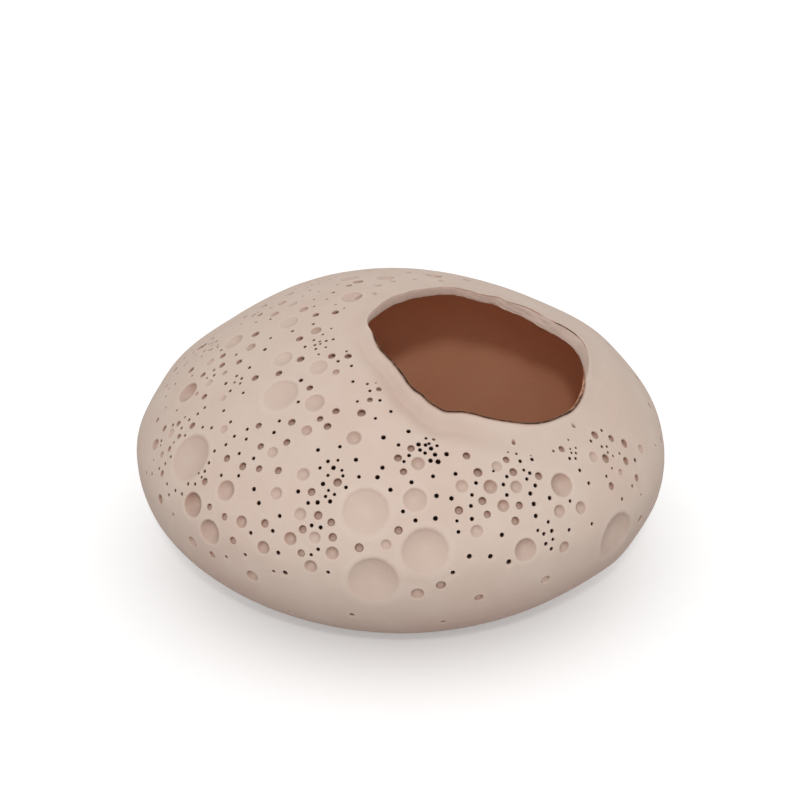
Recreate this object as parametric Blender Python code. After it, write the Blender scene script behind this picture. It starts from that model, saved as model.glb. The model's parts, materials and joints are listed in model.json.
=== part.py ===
"""A pebble-shaped cachepot of bare clay, hand built from a bowl, a dome and a strip round the mouth.

Run with: blender --background --python part.py
Metres, +Z up. The origin is the middle of the flat foot, on the surface that the pot stands on.
"""

import math

import bmesh
import bpy
from mathutils import Vector

# The closed pebble form, before the mouth is cut
BODY_LENGTH = 0.280  # along X, at the widest line
BODY_DEPTH = 0.272  # along Y, at the widest line
WIDEST_HEIGHT = 0.067  # the widest line above the foot
DOME_RISE = 0.084  # the crown above the widest line
DOME_FULLNESS = 1.72  # superellipse power: 2 is an ellipse, less is more pointed
BOWL_FULLNESS = 2.2
FOOT_RADIUS = 0.075  # the flat foot, along X
FOOT_ROUNDING = 0.002

# Clay
WALL = 0.0065
FLOOR = 0.008
LIP_THICKNESS = 0.003
LIP_TAPER = 0.014  # the width over which the wall thins towards the lip

# Where the pieces of clay were joined
SEAM_HEIGHT = 0.043  # the dome stands on the bowl here
STRIP_WIDTH = 0.009  # the strip round the mouth
SEAT_GAP = 0.0003  # between pieces that touch

# The mouth, seen from above: bearings and radii about its own middle
MOUTH_CENTRE = (0.042, -0.032)
MOUTH_OUTLINE = (
    (-178, 0.0575),
    (-160, 0.0530),
    (-140, 0.0525),
    (-116, 0.0550),
    (-98, 0.0488),
    (-75, 0.0485),
    (-45, 0.0505),
    (-10, 0.0500),
    (14, 0.0550),
    (36, 0.0625),
    (58, 0.0565),
    (84, 0.0530),
    (108, 0.0535),
    (138, 0.0515),
    (160, 0.0560),
)
LIP_CURL = 0.0016  # the drawn-up edge
LIP_CURL_WIDTH = 0.004
LIP_VALLEY = 0.0010  # the shallow valley outside it
LIP_VALLEY_AT = 0.010
LIP_VALLEY_WIDTH = 0.006

# The unevenness of hand-built walls, which leaves the widest line true
SWELL = 0.0008
SWELL_WAVES = 3

# Hollows pressed into the soft clay with a ball or a fingertip: bearing and latitude in degrees, diameter, depth
PRESSES = (
    (-145, 23, 0.0250, 0.0012),
    (-131.5, 48, 0.0190, 0.0009),
    (-97.5, 23, 0.0230, 0.0011),
    (-85.5, 11, 0.0230, 0.0018),
    (-95.5, -1.5, 0.0250, 0.0020),
    (-40.5, -4.5, 0.0270, 0.0020),
    (-138, 10.5, 0.0128, 0.0028),
    (-132, 3.5, 0.0130, 0.0024),
    (-164.5, 34, 0.0125, 0.0020),
    (-87, 26.5, 0.0118, 0.0014),
    (-52.5, 23, 0.0125, 0.0018),
    (-65, 6.5, 0.0120, 0.0016),
    (-130.5, 20, 0.0104, 0.0016),
    (-118, 48.5, 0.0105, 0.0010),
    (-144.5, 56, 0.0105, 0.0009),
    (-175, 49, 0.0110, 0.0012),
    (131, 7, 0.0240, 0.0018),
    (77, -3, 0.0230, 0.0019),
    (106, 34, 0.0240, 0.0011),
    (24, 11, 0.0240, 0.0018),
    (58, 38, 0.0125, 0.0018),
    (153, 22, 0.0120, 0.0020),
    (-168.5, 62.5, 0.0100, 0.0005),
    (-126, 57.5, 0.0100, 0.0006),
)

# Wide pits, scooped with a round-ended tool: bearing, latitude, diameter
SCOOPS = (
    (-160, 17, 0.0064),
    (-137.5, -5, 0.0064),
    (-124, 12.5, 0.0063),
    (-121.5, -8, 0.0066),
    (-140.5, 34.5, 0.0046),
    (-123, 34, 0.0059),
    (-118, 24, 0.0063),
    (-118.5, 6, 0.0068),
    (-112.5, 11.5, 0.0066),
    (-108, 2, 0.0066),
    (-111.5, 20, 0.0062),
    (-107.5, 13.5, 0.0060),
    (-103.5, 9, 0.0066),
    (-113, 30.5, 0.0066),
    (-116.5, 41.5, 0.0058),
    (-102.5, 41.5, 0.0075),
    (-93, 13.5, 0.0052),
    (-87, -6, 0.0065),
    (-85.5, 35.5, 0.0068),
    (-76, 29, 0.0065),
    (-74.5, 16, 0.0063),
    (-69.5, 28, 0.0072),
    (-68, 22, 0.0062),
    (-66.5, 32.5, 0.0055),
    (-63.5, 26.5, 0.0064),
    (-55.5, 16, 0.0066),
    (-56, 2.5, 0.0060),
    (-50, 14.5, 0.0066),
    (-40, 26, 0.0058),
    (-23.5, 18, 0.0050),
    (-164.5, 52.5, 0.0056),
    (-148, 66, 0.0060),
    (176, 59, 0.0050),
    (164, 59.5, 0.0050),
    (-178.5, 66, 0.0052),
    (127, 72.5, 0.0056),
    (60, 69, 0.0050),
    (48, 61, 0.0050),
    (145, 38, 0.0070),
    (117, 21, 0.0068),
    (102, 5, 0.0070),
    (90, 21, 0.0066),
    (66, 13, 0.0072),
    (47, 27, 0.0068),
    (40, -2, 0.0066),
    (158, -3, 0.0065),
    (121, 48, 0.0070),
    (7, 22, 0.0060),
    (-156.5, 24, 0.0050),
    (-171, 42.5, 0.0050),
    (-160.5, 40, 0.0045),
    (170, 63, 0.0050),
    (-149.5, 40.5, 0.0036),
    (-51.5, -17.5, 0.0044),
)

# Small pits with steep sides and flat bottoms: bearing, latitude, diameter
PITS = (
    (-172, 54.5, 0.0045),
    (-169.5, 45.5, 0.0038),
    (-164.5, 45, 0.0038),
    (-160, 48.5, 0.0036),
    (-159.5, 44.5, 0.0032),
    (-166.5, 39.5, 0.0036),
    (-174, 36.5, 0.0042),
    (-156.5, 37, 0.0036),
    (-151.5, 30, 0.0039),
    (-156.5, 27.5, 0.0032),
    (-160.5, 23, 0.0036),
    (-153, 25, 0.0030),
    (-153.5, 20.5, 0.0030),
    (-155, 17, 0.0036),
    (-151.5, 12.5, 0.0034),
    (-149.5, 2.5, 0.0052),
    (-166.5, 22, 0.0030),
    (-137, 58, 0.0043),
    (-150, 62, 0.0040),
    (-139.5, 52.5, 0.0038),
    (-146.5, 48.5, 0.0040),
    (-158.5, 72.5, 0.0040),
    (-166, 68.5, 0.0036),
    (-124, 61.5, 0.0040),
    (-116, 62.5, 0.0038),
    (-123, 52, 0.0035),
    (-114, 45, 0.0033),
    (-111, 43.5, 0.0039),
    (-110, 47.5, 0.0037),
    (-102, 48, 0.0043),
    (-100, 51.5, 0.0029),
    (-97.5, 54.5, 0.0030),
    (-131, 39, 0.0035),
    (-122, 42.5, 0.0040),
    (-120.5, 37.5, 0.0037),
    (-127, 34.5, 0.0036),
    (-134.5, 28, 0.0039),
    (-129, 28, 0.0041),
    (-124.5, 29, 0.0036),
    (-119.5, 30, 0.0038),
    (-137, 19.5, 0.0038),
    (-133, 13, 0.0034),
    (-128.5, 12, 0.0036),
    (-119, 14.5, 0.0042),
    (-131.5, -6, 0.0040),
    (-125.5, 4.5, 0.0040),
    (-110, 26.5, 0.0039),
    (-104.5, 30, 0.0042),
    (-107.5, 20.5, 0.0042),
    (-110.5, 15.5, 0.0040),
    (-104.5, 19, 0.0038),
    (-104, 14.5, 0.0041),
    (-110, 7, 0.0038),
    (-98.5, 12, 0.0043),
    (-90.5, 18, 0.0040),
    (-90.5, 37, 0.0038),
    (-87, 39.5, 0.0036),
    (-89.5, 33.5, 0.0035),
    (-82.5, -3, 0.0048),
    (-74.5, -10, 0.0044),
    (-73, 36.5, 0.0038),
    (-71.5, 32, 0.0045),
    (-72, 24.5, 0.0040),
    (-77.5, 23, 0.0041),
    (-72, 20.5, 0.0036),
    (-59, 37.5, 0.0036),
    (-63.5, 33.5, 0.0035),
    (-63, 30, 0.0041),
    (-57, 27.5, 0.0040),
    (-64.5, 21.5, 0.0038),
    (-66, 17, 0.0041),
    (-60, -8.5, 0.0050),
    (-47.5, 32, 0.0038),
    (-35, 30.5, 0.0045),
    (-37, 23.5, 0.0048),
    (-31, 27, 0.0040),
    (-28, 23.5, 0.0048),
    (-31.5, 19.5, 0.0045),
    (-35, 18, 0.0032),
    (-30.5, 12.5, 0.0038),
    (-39.5, 16, 0.0040),
    (-31.5, -5, 0.0046),
    (177, 30, 0.0038),
    (174.5, 39.5, 0.0040),
    (170.5, 55, 0.0034),
    (161.5, 54.5, 0.0030),
    (171, 12, 0.0038),
    (163, 7, 0.0040),
    (147, 28, 0.0036),
    (143, 12, 0.0042),
    (134, 27, 0.0038),
    (124, 34, 0.0040),
    (119, 10, 0.0038),
    (109, 14, 0.0040),
    (97, 13, 0.0042),
    (83, 28, 0.0036),
    (78, 19, 0.0040),
    (70, 27, 0.0038),
    (56, 10, 0.0042),
    (51, 18, 0.0036),
    (38, 18, 0.0040),
    (32, 28, 0.0036),
    (16, 31, 0.0034),
    (-3, 19, 0.0036),
    (-9, 9, 0.0040),
    (92, 54, 0.0038),
    (76, 47, 0.0040),
    (134, 52, 0.0036),
    (-117, 57.5, 0.0036),
    (166, 50, 0.0034),
    (172.5, 42, 0.0030),
    (-177.5, 27, 0.0030),
    (152.5, 59, 0.0042),
    (-160.5, 36, 0.0026),
)
SCOOP_DEPTH = 0.16  # of the diameter
PIT_DEPTH = 0.28

# Pit profiles from the bottom up: share of the radius, share of the depth below the wall
ROUND_PROFILE = ((0.30, 1.00), (0.64, 0.66), (1.00, 0.00), (1.16, -0.40))
SCOOP_PROFILE = ((0.42, 1.00), (0.80, 0.58), (1.00, 0.00), (1.10, -0.50))
STEEP_PROFILE = ((0.68, 1.00), (1.00, 0.00), (1.10, -0.40))

# How finely the form is faceted
AROUND = 72
SHOULDER_RINGS = 9  # from the mouth strip down to the widest line
SEAM_RINGS = 2  # from there down to the seam
INNER_RINGS = 7
BOWL_RINGS = 5
STRIP_RINGS = 2
PRESS_SIDES = 14
SCOOP_SIDES = 9
PIT_SIDES = 7

# Colours of the bare clay, and the edges that are shaded crisp
DOME_CLAY = (0.62, 0.49, 0.41, 1.0)
STRIP_CLAY = (0.64, 0.51, 0.43, 1.0)
BOWL_CLAY = (0.58, 0.45, 0.38, 1.0)
CRISP = math.radians(35)


def half_sizes(inside):
    """Half length, half depth, dome rise, bowl drop and superellipse foot of the outer or the inner form."""
    offset = WALL if inside else 0.0
    half_length = BODY_LENGTH / 2 - offset
    foot = FOOT_RADIUS - offset
    reach = WIDEST_HEIGHT - (FLOOR if inside else 0.0)
    drop = reach / (1 - (foot / half_length) ** BOWL_FULLNESS) ** (1 / BOWL_FULLNESS)
    return half_length, BODY_DEPTH / 2 - offset, DOME_RISE - offset, drop


def form_point(bearing, latitude, inside=False):
    """A point of the closed form. Bearing and latitude are in radians, and latitude 0 is the widest line."""
    half_length, half_depth, rise, drop = half_sizes(inside)
    power, height = (DOME_FULLNESS, rise) if latitude > 0 else (BOWL_FULLNESS, -drop)
    share = max(math.cos(latitude), 0.0) ** (2 / power)
    z = WIDEST_HEIGHT + height * abs(math.sin(latitude)) ** (2 / power)
    return Vector((half_length * share * math.cos(bearing), half_depth * share * math.sin(bearing), z))


def latitude_at(height):
    """The latitude of the outer form at a height above the foot."""
    _, _, rise, drop = half_sizes(False)
    above = height - WIDEST_HEIGHT
    if above > 0:
        return math.asin((above / rise) ** (DOME_FULLNESS / 2))
    return -math.asin((-above / drop) ** (BOWL_FULLNESS / 2))


def chart_at(bearing, latitude):
    """The shell laid flat: the crown in the middle, the widest line at radius 1, the foot outside it."""
    radius = 1 - latitude / (math.pi / 2)
    return Vector((radius * math.cos(bearing), radius * math.sin(bearing)))


def from_chart(chart):
    """Bearing and latitude of a chart point."""
    return math.atan2(chart.y, chart.x), (1 - chart.length) * math.pi / 2


def mouth_radius(angle):
    """The lip's distance from the mouth's middle, seen from above: a smooth closed curve through the outline."""
    turn = 2 * math.pi
    knots = [(math.radians(degrees) % turn, radius) for degrees, radius in MOUTH_OUTLINE]
    knots.sort()
    knots = [(knots[k][0] - turn, knots[k][1]) for k in (-2, -1)] + knots
    knots += [(knots[k][0] + turn, knots[k][1]) for k in (2, 3)]
    angle %= turn
    k = max(i for i in range(1, len(knots) - 2) if knots[i][0] <= angle)
    (a0, r0), (a1, r1), (a2, r2), (a3, r3) = knots[k - 1 : k + 3]
    span = a2 - a1
    t = (angle - a1) / span
    slope1 = (r2 - r0) / (a2 - a0) * span
    slope2 = (r3 - r1) / (a3 - a1) * span
    return (
        (2 * t**3 - 3 * t**2 + 1) * r1
        + (t**3 - 2 * t**2 + t) * slope1
        + (3 * t**2 - 2 * t**3) * r2
        + (t**3 - t**2) * slope2
    )


def lip_chart(angle):
    """The lip's chart point at an angle about the mouth's middle."""
    x = MOUTH_CENTRE[0] + mouth_radius(angle) * math.cos(angle)
    y = MOUTH_CENTRE[1] + mouth_radius(angle) * math.sin(angle)
    across = x / (BODY_LENGTH / 2)
    deep = y / (BODY_DEPTH / 2)
    latitude = math.acos(math.hypot(across, deep) ** (DOME_FULLNESS / 2))
    return chart_at(math.atan2(deep, across), latitude)


def lip_distance(point):
    """How far outside the lip a point lies, seen from above."""
    x, y = point.x - MOUTH_CENTRE[0], point.y - MOUTH_CENTRE[1]
    return math.hypot(x, y) - mouth_radius(math.atan2(y, x))


def outward(bearing, latitude):
    """The closed form's outward normal."""
    step = 0.002
    east = form_point(bearing + step, latitude) - form_point(bearing - step, latitude)
    north = form_point(bearing, latitude + step) - form_point(bearing, latitude - step)
    return east.cross(north).normalized()


def relief(point, bearing, latitude):
    """How far the wall stands off the closed form: a slow swell, and the curl and valley along the lip."""
    swell = SWELL * math.sin(SWELL_WAVES * bearing) * math.sin(2 * latitude) ** 2
    if latitude < 0:
        return swell
    away = lip_distance(point)
    curl = LIP_CURL * math.exp(-((away / LIP_CURL_WIDTH) ** 2))
    valley = LIP_VALLEY * math.exp(-(((away - LIP_VALLEY_AT) / LIP_VALLEY_WIDTH) ** 2))
    return swell + curl - valley


def skin(chart, inside=False):
    """A point of the pot's outer or inner surface, from its chart point."""
    bearing, latitude = from_chart(chart)
    outer = form_point(bearing, latitude)
    shift = outward(bearing, latitude) * relief(outer, bearing, latitude)
    if not inside:
        return outer + shift
    through = form_point(bearing, latitude, inside=True) - outer
    if latitude > 0:
        near = min(max(lip_distance(outer) / LIP_TAPER, 0.0), 1.0)
        thin = LIP_THICKNESS / WALL
        through *= thin + (1 - thin) * near
    return outer + shift + through


def ring(chart_of_angle, inside=False):
    """One ring of points, from a function of the angle that gives chart points."""
    return [skin(chart_of_angle(2 * math.pi * k / AROUND), inside) for k in range(AROUND)]


def between(share, start, end):
    """The chart curve at a share of the way between two others."""
    return lambda angle: start(angle).lerp(end(angle), share)


def latitude_line(latitude):
    """The chart curve of one latitude."""
    return lambda angle: chart_at(angle, latitude)


def strip_line(width):
    """The chart curve that runs a real width outside the lip."""
    arc = math.pi / 4 * (BODY_LENGTH / 2 + DOME_RISE)  # about one chart unit, on the dome

    def curve(angle):
        lip = lip_chart(angle)
        away = latitude_line(latitude_at(SEAM_HEIGHT))(angle) - lip
        return lip + away.normalized() * (width / arc)

    return curve


def add_rings(bm, rings):
    """Adds rings of points, and faces from each to the next. Returns the rings of vertices."""
    made = [[bm.verts.new(point) for point in points] for points in rings]
    for low, high in zip(made, made[1:]):
        join_rings(bm, low, high)
    return made


def join_rings(bm, low, high):
    """Faces between two rings of vertices."""
    for k in range(AROUND):
        n = (k + 1) % AROUND
        bm.faces.new((low[k], low[n], high[n], high[k]))


def add_object(name, bm, material):
    """A mesh object from a bmesh, shaded smooth apart from its edges."""
    bmesh.ops.recalc_face_normals(bm, faces=bm.faces)
    mesh = bpy.data.meshes.new(name)
    bm.to_mesh(mesh)
    bm.free()
    mesh.shade_smooth()
    mesh.set_sharp_from_angle(angle=CRISP)
    if material:
        mesh.materials.append(material)
    obj = bpy.data.objects.new(name, mesh)
    bpy.context.scene.collection.objects.link(obj)
    return obj


def clay_material(name, colour):
    """Bare fired clay, pale pink beige and dull."""
    material = bpy.data.materials.new(name)
    material.use_nodes = True
    surface = material.node_tree.nodes["Principled BSDF"]
    surface.inputs["Base Color"].default_value = colour
    surface.inputs["Roughness"].default_value = 0.85
    surface.inputs["Metallic"].default_value = 0.0
    return material


def build_strip(name, material):
    """The strip of clay round the mouth: down the outside, back up the inside, round the drawn-up edge."""
    lip = strip_line(0.0)
    edge = strip_line(STRIP_WIDTH - SEAT_GAP / 2)
    shares = [k / STRIP_RINGS for k in range(STRIP_RINGS + 1)]
    outer = [ring(between(share, lip, edge)) for share in shares]
    inner = [ring(between(share, lip, edge), inside=True) for share in reversed(shares)]
    return build_loop(name, outer + inner, material)


def build_dome(name, material):
    """The dome, from the strip round the mouth down to the seam, with a ring on the widest line."""
    edge = strip_line(STRIP_WIDTH + SEAT_GAP / 2)
    widest = latitude_line(0.0)
    seam = latitude_line(latitude_at(SEAM_HEIGHT + SEAT_GAP / 2))
    outer = [ring(between(k / SHOULDER_RINGS, edge, widest)) for k in range(SHOULDER_RINGS)]
    outer += [ring(between(k / SEAM_RINGS, widest, seam)) for k in range(SEAM_RINGS + 1)]
    inner = [ring(seam, inside=True)]
    inner += [ring(between(k / INNER_RINGS, widest, edge), inside=True) for k in range(INNER_RINGS + 1)]
    return build_loop(name, outer + inner, material)


def build_loop(name, rings, material):
    """A closed ring of wall from rings of points that lead round its section."""
    bm = bmesh.new()
    made = add_rings(bm, rings)
    join_rings(bm, made[-1], made[0])
    return add_object(name, bm, material)


def build_bowl(name, material):
    """The lower bowl: wall, rounded foot, and a flat floor inside."""
    top = latitude_at(SEAM_HEIGHT - SEAT_GAP / 2)
    foot = latitude_at(FOOT_ROUNDING)
    shares = [k / BOWL_RINGS for k in range(BOWL_RINGS + 1)]
    outer = [ring(latitude_line(top + (foot - top) * share)) for share in shares]
    inner = [ring(latitude_line(top + (latitude_at(0.0) - top) * share), inside=True) for share in shares]
    bm = bmesh.new()
    made_outer = add_rings(bm, outer + [foot_ring()])
    made_inner = add_rings(bm, inner)
    join_rings(bm, made_outer[0], made_inner[0])
    bm.faces.new(made_outer[-1])
    bm.faces.new(made_inner[-1])
    return add_object(name, bm, material)


def foot_ring():
    """The edge of the flat foot, drawn in from the wall by the foot's rounding."""
    shrink = 1 - FOOT_ROUNDING / FOOT_RADIUS
    points = [form_point(2 * math.pi * k / AROUND, latitude_at(0.0)) for k in range(AROUND)]
    return [Vector((point.x * shrink, point.y * shrink, 0.0)) for point in points]


def add_stamp(bm, spot, radius, depth, profile, sides):
    """One pit's closed stamp, turned about the wall's normal at its bearing and latitude."""
    bearing, latitude = math.radians(spot[0]), math.radians(spot[1])
    centre = skin(chart_at(bearing, latitude))
    up = outward(bearing, latitude)
    east = Vector((0, 0, 1)).cross(up).normalized()
    north = up.cross(east)
    rings = []
    for share, sunk in profile:
        points = []
        for k in range(sides):
            turn = 2 * math.pi * k / sides
            side = east * math.cos(turn) + north * math.sin(turn)
            points.append(bm.verts.new(centre + side * radius * share - up * depth * sunk))
        rings.append(points)
    for low, high in zip(rings, rings[1:]):
        for k in range(sides):
            n = (k + 1) % sides
            bm.faces.new((low[k], low[n], high[n], high[k]))
    bm.faces.new(rings[0])
    bm.faces.new(rings[-1])


def build_stamps(name):
    """All the stamps that pit the wall, as one hidden cutter."""
    bm = bmesh.new()
    for bearing, latitude, diameter, depth in PRESSES:
        add_stamp(bm, (bearing, latitude), diameter / 2, depth, ROUND_PROFILE, PRESS_SIDES)
    for bearing, latitude, diameter in SCOOPS:
        add_stamp(bm, (bearing, latitude), diameter / 2, diameter * SCOOP_DEPTH, SCOOP_PROFILE, SCOOP_SIDES)
    for bearing, latitude, diameter in PITS:
        add_stamp(bm, (bearing, latitude), diameter / 2, diameter * PIT_DEPTH, STEEP_PROFILE, PIT_SIDES)
    stamps = add_object(name, bm, None)
    stamps.hide_render = True
    stamps.display_type = "WIRE"
    return stamps


def pit(obj, stamps):
    """Cuts the stamps out of a piece of the wall, and shades the pits' rims crisp."""
    cut = obj.modifiers.new("pits", "BOOLEAN")
    cut.operation = "DIFFERENCE"
    cut.solver = "EXACT"
    cut.object = stamps
    shaped = bpy.data.meshes.new_from_object(obj.evaluated_get(bpy.context.evaluated_depsgraph_get()))
    obj.modifiers.remove(cut)
    obj.data = shaped
    shaped.name = obj.name
    shaped.shade_smooth()
    shaped.set_sharp_from_angle(angle=CRISP)


def main():
    for old in list(bpy.data.objects):
        bpy.data.objects.remove(old)
    build_strip("mouth_strip", clay_material("strip_clay", STRIP_CLAY))
    dome = build_dome("upper_dome", clay_material("dome_clay", DOME_CLAY))
    bowl = build_bowl("lower_bowl", clay_material("bowl_clay", BOWL_CLAY))
    stamps = build_stamps("pit_stamps")
    pit(dome, stamps)
    pit(bowl, stamps)


main()
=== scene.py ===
"""The looks of a pebble-shaped cachepot: brown clay under a pale slip, pitted by tools, with a torn mouth.

The sections follow the pot as it is built up: the bowl, the dome on it, then the strip drawn round the mouth.
Metres, +Z up. A bearing is an angle round the pot, with 0 along +X and -90 at the front. A latitude is 0 on
the widest line, 90 degrees at the crown and negative below.
"""

import json
import math

from collections import namedtuple

import bmesh
import bpy
import numpy as np
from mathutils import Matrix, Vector, noise
from mathutils.geometry import delaunay_2d_cdt

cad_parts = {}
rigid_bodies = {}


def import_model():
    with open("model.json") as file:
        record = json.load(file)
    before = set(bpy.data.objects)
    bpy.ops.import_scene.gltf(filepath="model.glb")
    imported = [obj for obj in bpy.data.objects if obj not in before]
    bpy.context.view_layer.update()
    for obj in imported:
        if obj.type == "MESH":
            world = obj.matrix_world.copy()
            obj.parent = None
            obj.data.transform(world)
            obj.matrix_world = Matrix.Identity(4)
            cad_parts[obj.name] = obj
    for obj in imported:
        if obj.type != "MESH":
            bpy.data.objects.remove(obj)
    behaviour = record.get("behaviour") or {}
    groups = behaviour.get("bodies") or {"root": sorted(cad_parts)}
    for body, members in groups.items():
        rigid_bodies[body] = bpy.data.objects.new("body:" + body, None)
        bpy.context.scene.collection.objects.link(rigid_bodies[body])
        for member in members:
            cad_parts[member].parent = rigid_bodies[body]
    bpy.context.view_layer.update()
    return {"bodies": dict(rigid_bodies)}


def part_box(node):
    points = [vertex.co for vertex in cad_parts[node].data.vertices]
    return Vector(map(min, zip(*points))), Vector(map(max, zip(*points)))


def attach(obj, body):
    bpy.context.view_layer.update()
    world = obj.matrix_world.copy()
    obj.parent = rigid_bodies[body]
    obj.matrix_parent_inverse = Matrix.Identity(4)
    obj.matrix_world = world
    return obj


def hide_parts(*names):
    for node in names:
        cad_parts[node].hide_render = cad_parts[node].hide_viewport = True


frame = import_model()


# The lower bowl
# Brown, slightly gritty clay, beaten out to about 6.5 mm in a round mould and flattened where it stands.
# It carries the dome on its edge. The joint is luted and scraped smooth, and pale slip covers the outside.

POT = next(iter(frame["bodies"]))
HALF_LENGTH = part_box("upper_dome")[1].x
HALF_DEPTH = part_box("upper_dome")[1].y
SEAM_HEIGHT = (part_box("lower_bowl")[1].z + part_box("upper_dome")[0].z) / 2
WIDEST_HEIGHT = 0.067
DOME_RISE = 0.084
DOME_FULLNESS = 1.72  # superellipse power: 2 is an ellipse
BOWL_FULLNESS = 2.2
CROWN_LEAN = -0.0018  # the crown lies this far along X from the middle of the foot
FOOT_RADIUS = 0.075
FOOT_ROUNDING = 0.002
WALL = 0.0065
FLOOR = 0.008
FULL_TURN = 2 * math.pi


def half_sizes(inside):
    """Half length, half depth, dome rise and bowl drop of the outer or the inner form."""
    wall = WALL if inside else 0.0
    half_length = HALF_LENGTH - wall
    reach = WIDEST_HEIGHT - (FLOOR if inside else 0.0)
    foot_share = (FOOT_RADIUS - wall) / half_length
    drop = reach / (1 - foot_share**BOWL_FULLNESS) ** (1 / BOWL_FULLNESS)
    return half_length, HALF_DEPTH - wall, DOME_RISE - wall, drop


def form(bearing, latitude, inside=False):
    """Points of the closed pebble, before hands make it uneven."""
    half_length, half_depth, rise, drop = half_sizes(inside)
    power = np.where(latitude > 0, DOME_FULLNESS, BOWL_FULLNESS)
    share = np.clip(np.cos(latitude), 0, 1) ** (2 / power)
    level = np.abs(np.sin(latitude)) ** (2 / power)
    x = half_length * share * np.cos(bearing) + np.where(latitude > 0, CROWN_LEAN * level, 0)
    y = half_depth * share * np.sin(bearing)
    return np.stack((x, y, WIDEST_HEIGHT + np.where(latitude > 0, rise, -drop) * level), -1)


def outward(bearing, latitude):
    """The pebble's outward normals."""
    half_length, half_depth, rise, drop = half_sizes(False)
    power = np.where(latitude > 0, DOME_FULLNESS, BOWL_FULLNESS)
    flat = np.clip(np.cos(latitude), 0, 1) ** (2 - 2 / power)
    steep = np.abs(np.sin(latitude)) ** (2 - 2 / power)
    z = steep / np.where(latitude > 0, rise, -drop)
    normal = np.stack((flat * np.cos(bearing) / half_length, flat * np.sin(bearing) / half_depth, z), -1)
    return normal / np.linalg.norm(normal, axis=-1, keepdims=True)


def latitude_at(height):
    """The latitude of a height above the foot, below the widest line."""
    drop = half_sizes(False)[3]
    return -math.asin(((WIDEST_HEIGHT - height) / drop) ** (BOWL_FULLNESS / 2))


# The wall laid flat without shear: rows stay rows, and small circles on the wall stay circles in this chart
CHART_TOP = 89.9  # latitudes in degrees, from just off the crown to past the foot
CHART_BOTTOM = -62
CHART_ROWS = 4000
latitudes = np.radians(np.linspace(CHART_TOP, CHART_BOTTOM, CHART_ROWS))
profile = form(np.zeros_like(latitudes), latitudes) - form(np.pi, latitudes)
profile_radius = profile[:, 0] / 2
profile_height = form(np.zeros_like(latitudes), latitudes)[:, 2]
steps = np.hypot(np.diff(profile_radius), np.diff(profile_height))
way_down = np.concatenate(([0], np.cumsum(steps)))  # metres along the wall from the crown
growth = np.concatenate(([0], np.cumsum(steps * 2 / (profile_radius[1:] + profile_radius[:-1]))))
growth -= np.interp(0, -latitudes, growth)


def along(latitude):
    """Metres down the wall from the crown."""
    return np.interp(-latitude, -latitudes, way_down)


def to_chart(bearing, latitude):
    """Chart points of places on the wall."""
    reach = np.exp(np.interp(-latitude, -latitudes, growth))
    return np.stack((reach * np.cos(bearing), reach * np.sin(bearing)), -1)


def from_chart(chart):
    """Bearings and latitudes of chart points."""
    reach = np.hypot(chart[:, 0], chart[:, 1])
    return np.arctan2(chart[:, 1], chart[:, 0]), np.interp(np.log(reach), growth, latitudes)


# Slow unevenness that beating and pressing leave: swells round the pot, flats and bulges, and finger marks
SWELL = 0.0008
SWELLS_ROUND = 3
FLATS = (  # bearing, latitude and width in degrees, and height
    (148, 37, 16, -0.0029), (172, 17, 10, -0.0017), (-3, 5, 8, -0.0007), (45, 42, 30, -0.0013),
    (95, 55, 18, 0.0014), (26, 32, 9, 0.0016), (-17, -10, 9, 0.0008), (-32, -24, 8, 0.0016),
)
BEATING = ((0.050, 0.0006), (0.017, 0.00022))  # wavelength, depth
STANDS_OUT = 0.0003  # the beaten wall lies this far outside the plain form on the whole
FINGER_MARKS = (0.026, 0.0006)  # the wavelength and depth of those inside


def waver(points, wavelength, seed):
    """Smooth noise from -1 to 1 at each point."""
    shift = Vector((seed, seed * 2, seed * 3))
    return np.array([noise.noise(Vector(point) / wavelength + shift) for point in points])


def hand_skin(bearing, latitude, inside=False, lift=0.0, thickness=1.0):
    """The wall's outer or inner surface as hands leave it. Thickness is a share of the full wall."""
    outer = form(bearing, latitude)
    normal = outward(bearing, latitude)
    height = STANDS_OUT + SWELL * np.sin(SWELLS_ROUND * bearing) * np.sin(2 * latitude) ** 2 + lift
    for at, level, width, rise in FLATS:
        turned = (np.degrees(bearing) - at + 180) % 360 - 180
        away = np.hypot(turned * np.cos(latitude), np.degrees(latitude) - level) / width
        height = height + rise * np.exp(-(away**2))
    for wavelength, depth in BEATING:
        height = height - depth * (0.5 + 0.5 * waver(outer, wavelength, 1))
    if inside:
        through = form(bearing, latitude, inside=True) - outer
        outer = outer + through * np.reshape(thickness, (-1, 1))
        height = height + FINGER_MARKS[1] * waver(outer, FINGER_MARKS[0], 2)
    return outer + normal * np.reshape(height, (-1, 1))


# Where the photograph was taken from, because the finest marks are read off it in its own pixels
PHOTO_WIDTH = 800
SENSOR_WIDTH = 36
LENS = 85.3
VIEW_TILT = math.radians(28)
VIEW_DISTANCE = 1.0
VIEW_TARGET = Vector((-0.0004, 0, 0.0893))
MARCH = (0.7, 1.1, 400)  # a line of sight looks for the wall between these shares of the distance, in steps
HALVINGS = 20
view_forward = Vector((0, math.cos(VIEW_TILT), -math.sin(VIEW_TILT)))
view_up = Vector((0, math.sin(VIEW_TILT), math.cos(VIEW_TILT)))
eye = VIEW_TARGET - view_forward * VIEW_DISTANCE


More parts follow.
